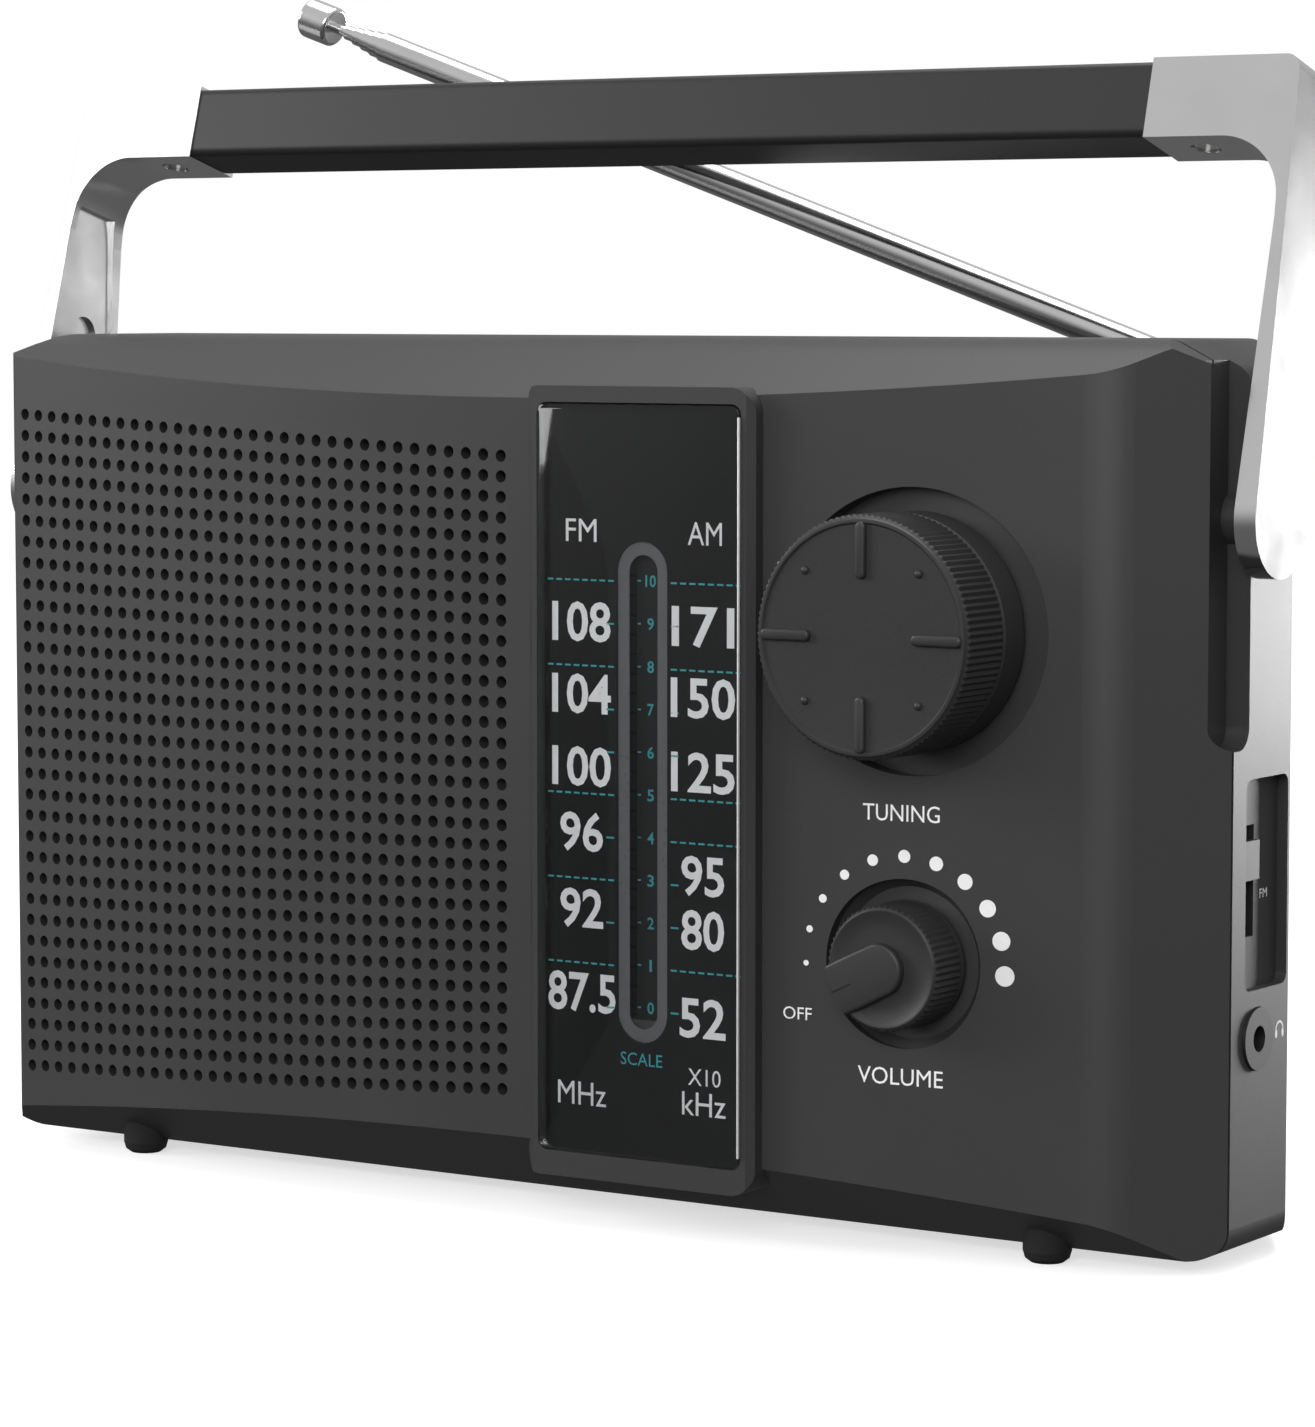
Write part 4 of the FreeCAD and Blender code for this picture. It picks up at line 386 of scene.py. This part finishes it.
def makeVolumeKnob(look):
    spot, radius, deep = knobSpot("volume_knob")
    tooth = look["toothDeep"]
    plate = deep - look["fingerHigh"]
    shape = toothedRings(look["teeth"], [
        (radius * 0.5, 0, 0.3 * mm), (radius - 0.3 * mm, 0, 0.3 * mm), (radius, 0, 0.8 * mm),
        (radius - 0.1 * mm, 0, 1.3 * mm), (radius - 0.1 * mm, tooth, 1.7 * mm),
        (radius - 0.1 * mm, tooth, plate - 0.5 * mm), (radius - 0.4 * mm, tooth * 0.6, plate - 0.15 * mm),
        (radius - 0.75 * mm, 0, plate), (radius - 1.1 * mm, 0, plate - 0.05 * mm),
        (radius - 1.5 * mm, 0, plate - 0.3 * mm), (radius * 0.6, 0, plate - 0.35 * mm)])
    reach = radius - 0.35 * mm
    long = reach + look["fingerBack"]
    finger = raisedPill(long, look["fingerWide"], look["fingerHigh"] + 0.4 * mm, 0.45 * mm)
    bmesh.ops.translate(finger, verts=finger.verts, vec=(long / 2 - look["fingerBack"], 0, plate - 0.4 * mm))
    for vert in finger.verts:   # the tip follows the rim
        limit = math.sqrt(reach ** 2 - min(abs(vert.co.y), reach) ** 2)
        if vert.co.x > reach - look["fingerWide"] / 2:
            vert.co.x = max(vert.co.x, limit - 0.2 * mm)
    turn = math.radians(look["fingerTurn"])
    merge(shape, finger, Matrix.Rotation(turn, 4, "Z"))
    shape.transform(facingFront(spot))
    piece = finishPiece(shape, "volumeKnob", "volume", "knob_plastic")
    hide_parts("volume_knob")
    mark = raisedPill(look["lineLong"], look["lineWide"], 0.05 * mm, 0.02 * mm)
    outwards = (reach - look["lineLong"] / 2 - 0.3 * mm, 0, deep - 0.02 * mm)
    line = bmesh.new()
    merge(line, mark, Matrix.Rotation(turn, 4, "Z") @ Matrix.Translation(outwards))
    line.transform(facingFront(spot))
    finishPiece(line, "volumeMark", "volume", "black_plastic")


makeTuningKnob(tuningKnob)
makeVolumeKnob(volumeKnob)
print("knobs made")


inkHigh = 0.03 * mm
inkLift = 0.6   # printing lies this share of inkHigh above its surface
pressFrom = 0.05   # the printing starts this far in front of the surface


def surfaceOf(name):
    mesh = nodes[name].data
    return BVHTree.FromPolygons([v.co for v in mesh.vertices], [tuple(p.vertices) for p in mesh.polygons])


def lettering(words, capHigh, wide):   # the words centred on the origin, their height and width set
    curve = bpy.data.curves.new(words, "FONT")
    curve.body = words
    curve.resolution_u = 3
    curve.extrude = 0.01
    curve.offset = 0.018 if words[0].isdigit() else 0   # the figures are bold
    holder = bpy.data.objects.new(words, curve)
    mesh = bpy.data.meshes.new_from_object(holder)
    shape = bmesh.new()
    shape.from_mesh(mesh)
    bpy.data.objects.remove(holder)
    bpy.data.meshes.remove(mesh)
    xs = [v.co.x for v in shape.verts]
    ys = [v.co.y for v in shape.verts]
    zs = [v.co.z for v in shape.verts]
    middle = Vector(((min(xs) + max(xs)) / 2, (min(ys) + max(ys)) / 2, (min(zs) + max(zs)) / 2))
    bmesh.ops.translate(shape, verts=shape.verts, vec=-middle)
    size = (wide / (max(xs) - min(xs)), capHigh / (max(ys) - min(ys)), inkHigh / (max(zs) - min(zs)))
    bmesh.ops.scale(shape, vec=size, verts=shape.verts)
    return shape


def inkBar(wide, high):
    shape = bmesh.new()
    bmesh.ops.create_cube(shape, size=1.0, matrix=Matrix.Diagonal((wide, high, inkHigh, 1)))
    return shape


def inkDot(wide):
    shape = bmesh.new()
    bmesh.ops.create_cone(shape, cap_ends=True, segments=28, radius1=wide / 2, radius2=wide / 2,
                          depth=inkHigh)
    return shape


def drape(shape, surface, onto):   # lays printing on a surface as a thin sheet; onto is the way it is pressed
    for vert in shape.verts:
        start = vert.co - onto * pressFrom
        hit = surface.ray_cast(start, onto)[0]
        if hit is not None:
            vert.co += onto * ((hit - vert.co).dot(onto) - inkHigh * inkLift)


towardsBack = Vector((0, 1, 0))
towardsLeft = Vector((-1, 0, 0))
inkBase = -60 * mm   # plane that front printing is drawn on before it is draped

dialPrint = {
    "scaleX": 21.0, "scaleLow": 31.6, "scaleStep": 6.04,
    "fmX": 10.9, "amX": 31.2,
    "fm": [("108", 86.1, 9.9), ("104", 75.9, 10.0), ("100", 65.6, 10.0), ("96", 56.3, 7.3), ("92", 45.4, 7.3),
           ("87.5", 33.4, 11.5)],
    "am": [("171", 86.0, 10.3), ("150", 76.1, 10.6), ("125", 65.7, 10.5), ("95", 51.2, 7.1),
           ("80", 43.6, 7.1), ("52", 31.2, 7.6)],
    "figureHigh": 5.7,
    "words": [("FM", 10.9, 99.0, 3.2, 5.2), ("AM", 31.5, 99.0, 3.2, 5.6), ("MHz", 10.9, 18.9, 3.3, 8.2),
              ("kHz", 31.4, 19.1, 3.3, 7.2), ("X10", 31.5, 22.9, 2.4, 5.4)],
    "fullLeft": (10, 8, 5, 3, 1), "fullRight": (10, 8, 5, 4, 1),
    "leftEnds": (5.2, 16.4), "rightEnds": (25.9, 37.6), "stubLong": 1.3,
    "scaleWord": {"z": 24.6, "high": 1.8, "wide": 7.0},
    "stripHigh": 1.7, "stripWide": 1.1, "stripDash": (0.55, 0.24), "stripDashX": 1.9,
}


def scaleHeight(figure):
    return (dialPrint["scaleLow"] + dialPrint["scaleStep"] * figure) * mm


def addPrint(target, part, x, z):
    merge(target, part, facingFront((x * mm, inkBase, z * mm)))


def dashed(target, low, high, z, dash=0.95, gap=0.5):
    count = max(1, round((high - low + gap) / (dash + gap)))
    pitch = (high - low + gap) / count
    for index in range(count):
        addPrint(target, inkBar((pitch - gap) * mm, 0.26 * mm), low + pitch * index + (pitch - gap) / 2, z)


def printDial(look):
    white = bmesh.new()
    teal = bmesh.new()
    for x, column in ((look["fmX"], look["fm"]), (look["amX"], look["am"])):
        for figure, z, wide in column:
            addPrint(white, lettering(figure, look["figureHigh"] * mm, wide * mm), x, z)
    for words, x, z, high, wide in look["words"]:
        addPrint(white, lettering(words, high * mm, wide * mm), x, z)
    left, right = look["leftEnds"], look["rightEnds"]
    for figure in range(11):
        z = scaleHeight(figure) / mm
        dashed(teal, *(left if figure in look["fullLeft"] else (left[1] - look["stubLong"], left[1])), z)
        dashed(teal, *(right if figure in look["fullRight"] else (right[0], right[0] + look["stubLong"])), z)
    word = look["scaleWord"]
    addPrint(teal, lettering("SCALE", word["high"] * mm, word["wide"] * mm), look["scaleX"], word["z"])
    plate = surfaceOf("dial_plate")
    for shape, name, finish in ((white, "dialFigures", "print_white"), (teal, "dialLines", "print_teal")):
        drape(shape, plate, towardsBack)
        finishPiece(shape, name, "root", "dial_black", finish)
    strip = bmesh.new()
    for figure in range(11):
        z = scaleHeight(figure) / mm
        wide = {1: 0.4, 10: 1.75}.get(figure, look["stripWide"])   # the 1 is slim, the 10 has two figures
        addPrint(strip, lettering(str(figure), look["stripHigh"] * mm, wide * mm), look["scaleX"], z)
        for side in (-1, 1):
            dash = inkBar(*(part * mm for part in look["stripDash"]))
            addPrint(strip, dash, look["scaleX"] + side * look["stripDashX"], z)
    drape(strip, plate, towardsBack)
    finishPiece(strip, "scaleFigures", "root", "dial_black", "print_teal")


frontPrint = {
    "words": [("TUNING", 61.3, 61.6, 2.3, 11.4), ("VOLUME", 61.3, 25.3, 2.35, 12.7),
              ("OFF", 45.7, 33.0, 1.75, 4.4)],
    "dots": 11, "dotRing": 14.8, "dotSmall": 0.8, "dotLarge": 2.8, "dotStart": 183, "dotSweep": 186,
}


def printFront(look):
    white = bmesh.new()
    for words, x, z, high, wide in look["words"]:
        addPrint(white, lettering(words, high * mm, wide * mm), x, z)
    spot = knobSpot("volume_knob")[0]
    for index in range(look["dots"]):
        share = index / (look["dots"] - 1)
        bearing = math.radians(look["dotStart"] - look["dotSweep"] * share)
        wide = look["dotSmall"] + (look["dotLarge"] - look["dotSmall"]) * share
        addPrint(white, inkDot(wide * mm), spot.x / mm + look["dotRing"] * math.cos(bearing),
                 spot.z / mm + look["dotRing"] * math.sin(bearing))
    drape(white, surfaceOf("front_shell"), towardsBack)
    finishPiece(white, "frontPrinting", "root", "case_plastic", "print_white")


sidePrint = {"bandHigh": 1.25 * mm, "bandWide": 2.3 * mm, "bandBehind": 2.1 * mm, "bandBelow": 0.8 * mm,
             "headRadius": 1.25 * mm, "headInner": 0.76, "headBehind": 7.0 * mm, "headAbove": 0.4 * mm,
             "cupWide": 0.9 * mm, "cupApart": 1.0 * mm, "cupBelow": 0.5 * mm, "drawnOut": 0.02}


def printSide(look):   # the band name below the switch, and a pair of headphones beside their socket
    white = bmesh.new()
    low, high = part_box("band_switch_button")
    jackLow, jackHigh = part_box("headphone_jack")
    out = cadBox[1].x + look["drawnOut"]
    name = lettering("FM", look["bandHigh"], look["bandWide"])
    merge(white, name, facingRight((out, high.y + look["bandBehind"], low.z - look["bandBelow"])))
    band = bmesh.new()   # headband: a half ring
    bmesh.ops.create_circle(band, segments=28, radius=look["headRadius"])
    inner = bmesh.ops.extrude_edge_only(band, edges=band.edges[:])["geom"]
    for vert in [part for part in inner if isinstance(part, bmesh.types.BMVert)]:
        vert.co *= look["headInner"]
    bmesh.ops.bisect_plane(band, geom=band.verts[:] + band.edges[:] + band.faces[:], plane_co=(0, 0, 0),
                           plane_no=(0, -1, 0), clear_outer=True)
    bmesh.ops.solidify(band, geom=band.faces[:], thickness=inkHigh)
    spot = (out, (jackLow.y + jackHigh.y) / 2 + look["headBehind"],
            (jackLow.z + jackHigh.z) / 2 + look["headAbove"])
    merge(white, band, facingRight(spot))
    for side in (-1, 1):
        cup = inkDot(look["cupWide"])
        bmesh.ops.scale(cup, vec=(0.75, 1.4, 1), verts=cup.verts)
        ear = (spot[0], spot[1] + side * look["cupApart"], spot[2] - look["cupBelow"])
        merge(white, cup, facingRight(ear))
    drape(white, surfaceOf("rear_shell"), towardsLeft)
    finishPiece(white, "sidePrinting", "root", "case_plastic", "print_white")


printDial(dialPrint)
printFront(frontPrint)
printSide(sidePrint)
print("printing done")


dialPane = {"edge": 0.45 * mm, "corner": 1.5 * mm}


def makeWindow(look):   # clear pane with polished slanting edges
    low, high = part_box("dial_lens")
    size, middle = high - low, (low + high) / 2
    pane = bmesh.new()
    bmesh.ops.create_cube(pane, size=1.0, matrix=Matrix.Translation(middle) @ Matrix.Diagonal((*size, 1)))
    upright = [line for line in pane.edges if abs(line.verts[0].co.y - line.verts[1].co.y) > size.y * 0.9]
    bmesh.ops.bevel(pane, geom=upright, offset=look["corner"], segments=5, affect="EDGES",
                    profile=0.5, material=-1)
    front = [line for line in pane.edges if all(abs(v.co.y - low.y) < 1e-6 for v in line.verts)]
    bmesh.ops.bevel(pane, geom=front, offset=look["edge"], segments=2, affect="EDGES",
                    profile=0.5, material=-1)
    piece = finishPiece(pane, "dialWindow", "root", "clear_window")
    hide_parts("dial_lens")


lightStrip = {"wide": 8.5 * mm, "inner": 4.7 * mm, "thick": 0.45 * mm, "low": 26.95, "high": 97.65,
              "above": 0.55 * mm, "litWide": 0.26 * mm, "litDeep": 0.5 * mm, "litRound": 0.08 * mm,
              "litShort": 3.4 * mm, "clips": ((79.2, 88.4), (40.7, 49.8)), "clipWide": 0.35 * mm,
              "clipOut": 1.6}


def raceTrack(wide, inner, tall, thick):   # a long ring with half round ends, upright, on the plane Z = 0
    shape = bmesh.new()
    loop = bmesh.ops.create_circle(shape, segments=32, radius=1.0)["verts"]
    edges = shape.edges[:]
    grown = bmesh.ops.extrude_edge_only(shape, edges=edges)["geom"]
    inside = [part for part in grown if isinstance(part, bmesh.types.BMVert)]
    for verts, across in ((loop, wide), (inside, inner)):
        for vert in verts:
            flat = vert.co * (across / 2)
            straight = math.copysign((tall - wide) / 2, flat.y)
            vert.co = Vector((flat.x, flat.y + straight, 0))
    bmesh.ops.solidify(shape, geom=shape.faces[:], thickness=thick)
    return shape


def makeLightStrip(look):
    lensLow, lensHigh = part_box("dial_lens")
    middle = (look["low"] + look["high"]) / 2 * mm
    ring = raceTrack(look["wide"], look["inner"], (look["high"] - look["low"]) * mm, look["thick"])
    ring.transform(facingFront((dialPrint["scaleX"] * mm, lensHigh.y + look["above"], middle)))
    finishPiece(ring, "scaleLightStrip", "root", "dial_black", "smoked_strip")
    # a bright bar along the window's right edge: a painted highlight standing in for light caught by the lens
    # side
    edge = bmesh.new()
    tall = lensHigh.z - lensLow.z - look["litShort"]
    bar = Matrix.Translation((lensHigh.x - 0.12 * mm, lensLow.y + 0.05 * mm, (lensLow.z + lensHigh.z) / 2))
    bmesh.ops.create_cube(edge, size=1.0, matrix=bar @ Matrix.Diagonal(
        (look["litWide"], look["litDeep"], tall, 1)))
    bmesh.ops.bevel(edge, geom=edge.edges[:], offset=look["litRound"], segments=2, affect="EDGES",
                    profile=0.5, material=-1)
    finishPiece(edge, "windowPaintedHighlight", "root", "clear_window", "lens_painted_highlight")
    slits = bmesh.new()
    for bottom, top in look["clips"]:
        slit = inkBar(look["clipWide"], (top - bottom) * mm)
        addPrint(slits, slit, lensLow.x / mm - look["clipOut"], (bottom + top) / 2)
    drape(slits, surfaceOf("front_shell"), towardsBack)
    finishPiece(slits, "windowClips", "root", "black_plastic")


makeWindow(dialPane)
makeLightStrip(lightStrip)
print("window made")


lights = {
    "keyLight": {"place": (-1.45, -0.78, 0.66), "aim": (0, 0, 0.08), "size": (0.65, 0.75), "power": 15},
    "rimLight": {"place": (0.27, 0.95, 0.08), "aim": (0.1, 0, 0.06), "size": (0.2, 0.16), "power": 9},
    "fillLight": {"place": (0.45, -1.25, 0.55), "aim": (0, 0, 0.07), "size": (0.8, 0.6), "power": 10},
    "topLight": {"place": (0.0, 0.25, 1.3), "aim": (0, 0, 0.05), "size": (1.2, 0.8), "power": 11},
}


def softLight(name, place, aim, size, power):
    lamp = bpy.data.lights.new(name, "AREA")
    lamp.shape = "RECTANGLE"
    lamp.size, lamp.size_y = size
    lamp.energy = power
    holder = bpy.data.objects.new(name, lamp)
    holder.location = place
    holder.rotation_euler = (Vector(aim) - Vector(place)).to_track_quat("-Z", "Y").to_euler()
    bpy.context.scene.collection.objects.link(holder)


studio = {"floorSize": 12.0, "floorTone": 0.86, "floorGlow": 0.62, "skyLow": 0.12, "skyHigh": 0.56,
          "skyFrom": -0.25, "skyTo": 0.45}


def makeFloor(look):
    shape = bmesh.new()
    bmesh.ops.create_grid(shape, x_segments=1, y_segments=1, size=look["floorSize"] / 2)
    mesh = bpy.data.meshes.new("floor")
    shape.to_mesh(mesh)
    shape.free()

    def pattern(place):
        mottle = noise(place, 0.4)
        return {"Base Color": between(mottle, grey(look["floorTone"]), grey(look["floorTone"] + 0.02)),
                "Roughness": mottle * 0.06 + 0.16}
    fixed = {"Specular IOR Level": 0.5, "Emission Color": (1, 1, 1, 1),
             "Emission Strength": look["floorGlow"]}
    mesh.materials.append(makeMaterial("floorFinish", fixed, pattern))
    floor = bpy.data.objects.new("floor", mesh)
    floor.visible_diffuse = False   # the sky's soft grey fills the undersides instead
    floor.visible_glossy = False
    bpy.context.scene.collection.objects.link(floor)


def makeSky(look):
    world = bpy.data.worlds.new("studio")
    world.use_nodes = True
    bpy.context.scene.world = world
    tree = world.node_tree
    wire = Wire(tree)
    seen = wire.node("LightPath", out="Is Camera Ray")
    aim = wire.node("TexCoord", out="Generated")
    height = aim.node("SeparateXYZ", {}, {0: aim}, "Z")
    rise = height.node("MapRange", {"interpolation_type": "SMOOTHSTEP"}, {
        "Value": height, "From Min": look["skyFrom"], "From Max": look["skyTo"],
        "To Min": look["skyLow"], "To Max": look["skyHigh"]})
    soft = wire.node("Background", {}, {"Color": (1, 1, 1, 1), "Strength": rise})
    white = wire.node("Background", {}, {"Color": (1, 1, 1, 1), "Strength": 1.0})
    mixed = wire.node("MixShader", {}, {0: seen, 1: soft, 2: white})
    tree.links.new(mixed.socket, tree.nodes["World Output"].inputs["Surface"])


makeFloor(studio)
makeSky(studio)
for name, light in lights.items():
    softLight(name, light["place"], light["aim"], light["size"], light["power"])

lookFrom = {"place": (0.3890, -0.5940, 0.1315), "turn": 32.95, "down": 4.92, "lens": 121.7}
camera = bpy.data.cameras.new("camera")
camera.lens = lookFrom["lens"]
camera.sensor_width = 36
viewer = bpy.data.objects.new("camera", camera)
viewer.location = lookFrom["place"]
viewer.rotation_euler = (math.radians(90 - lookFrom["down"]), 0, math.radians(lookFrom["turn"]))
bpy.context.scene.collection.objects.link(viewer)
bpy.context.scene.camera = viewer
bpy.context.scene.view_settings.view_transform = "Standard"
print("studio set")
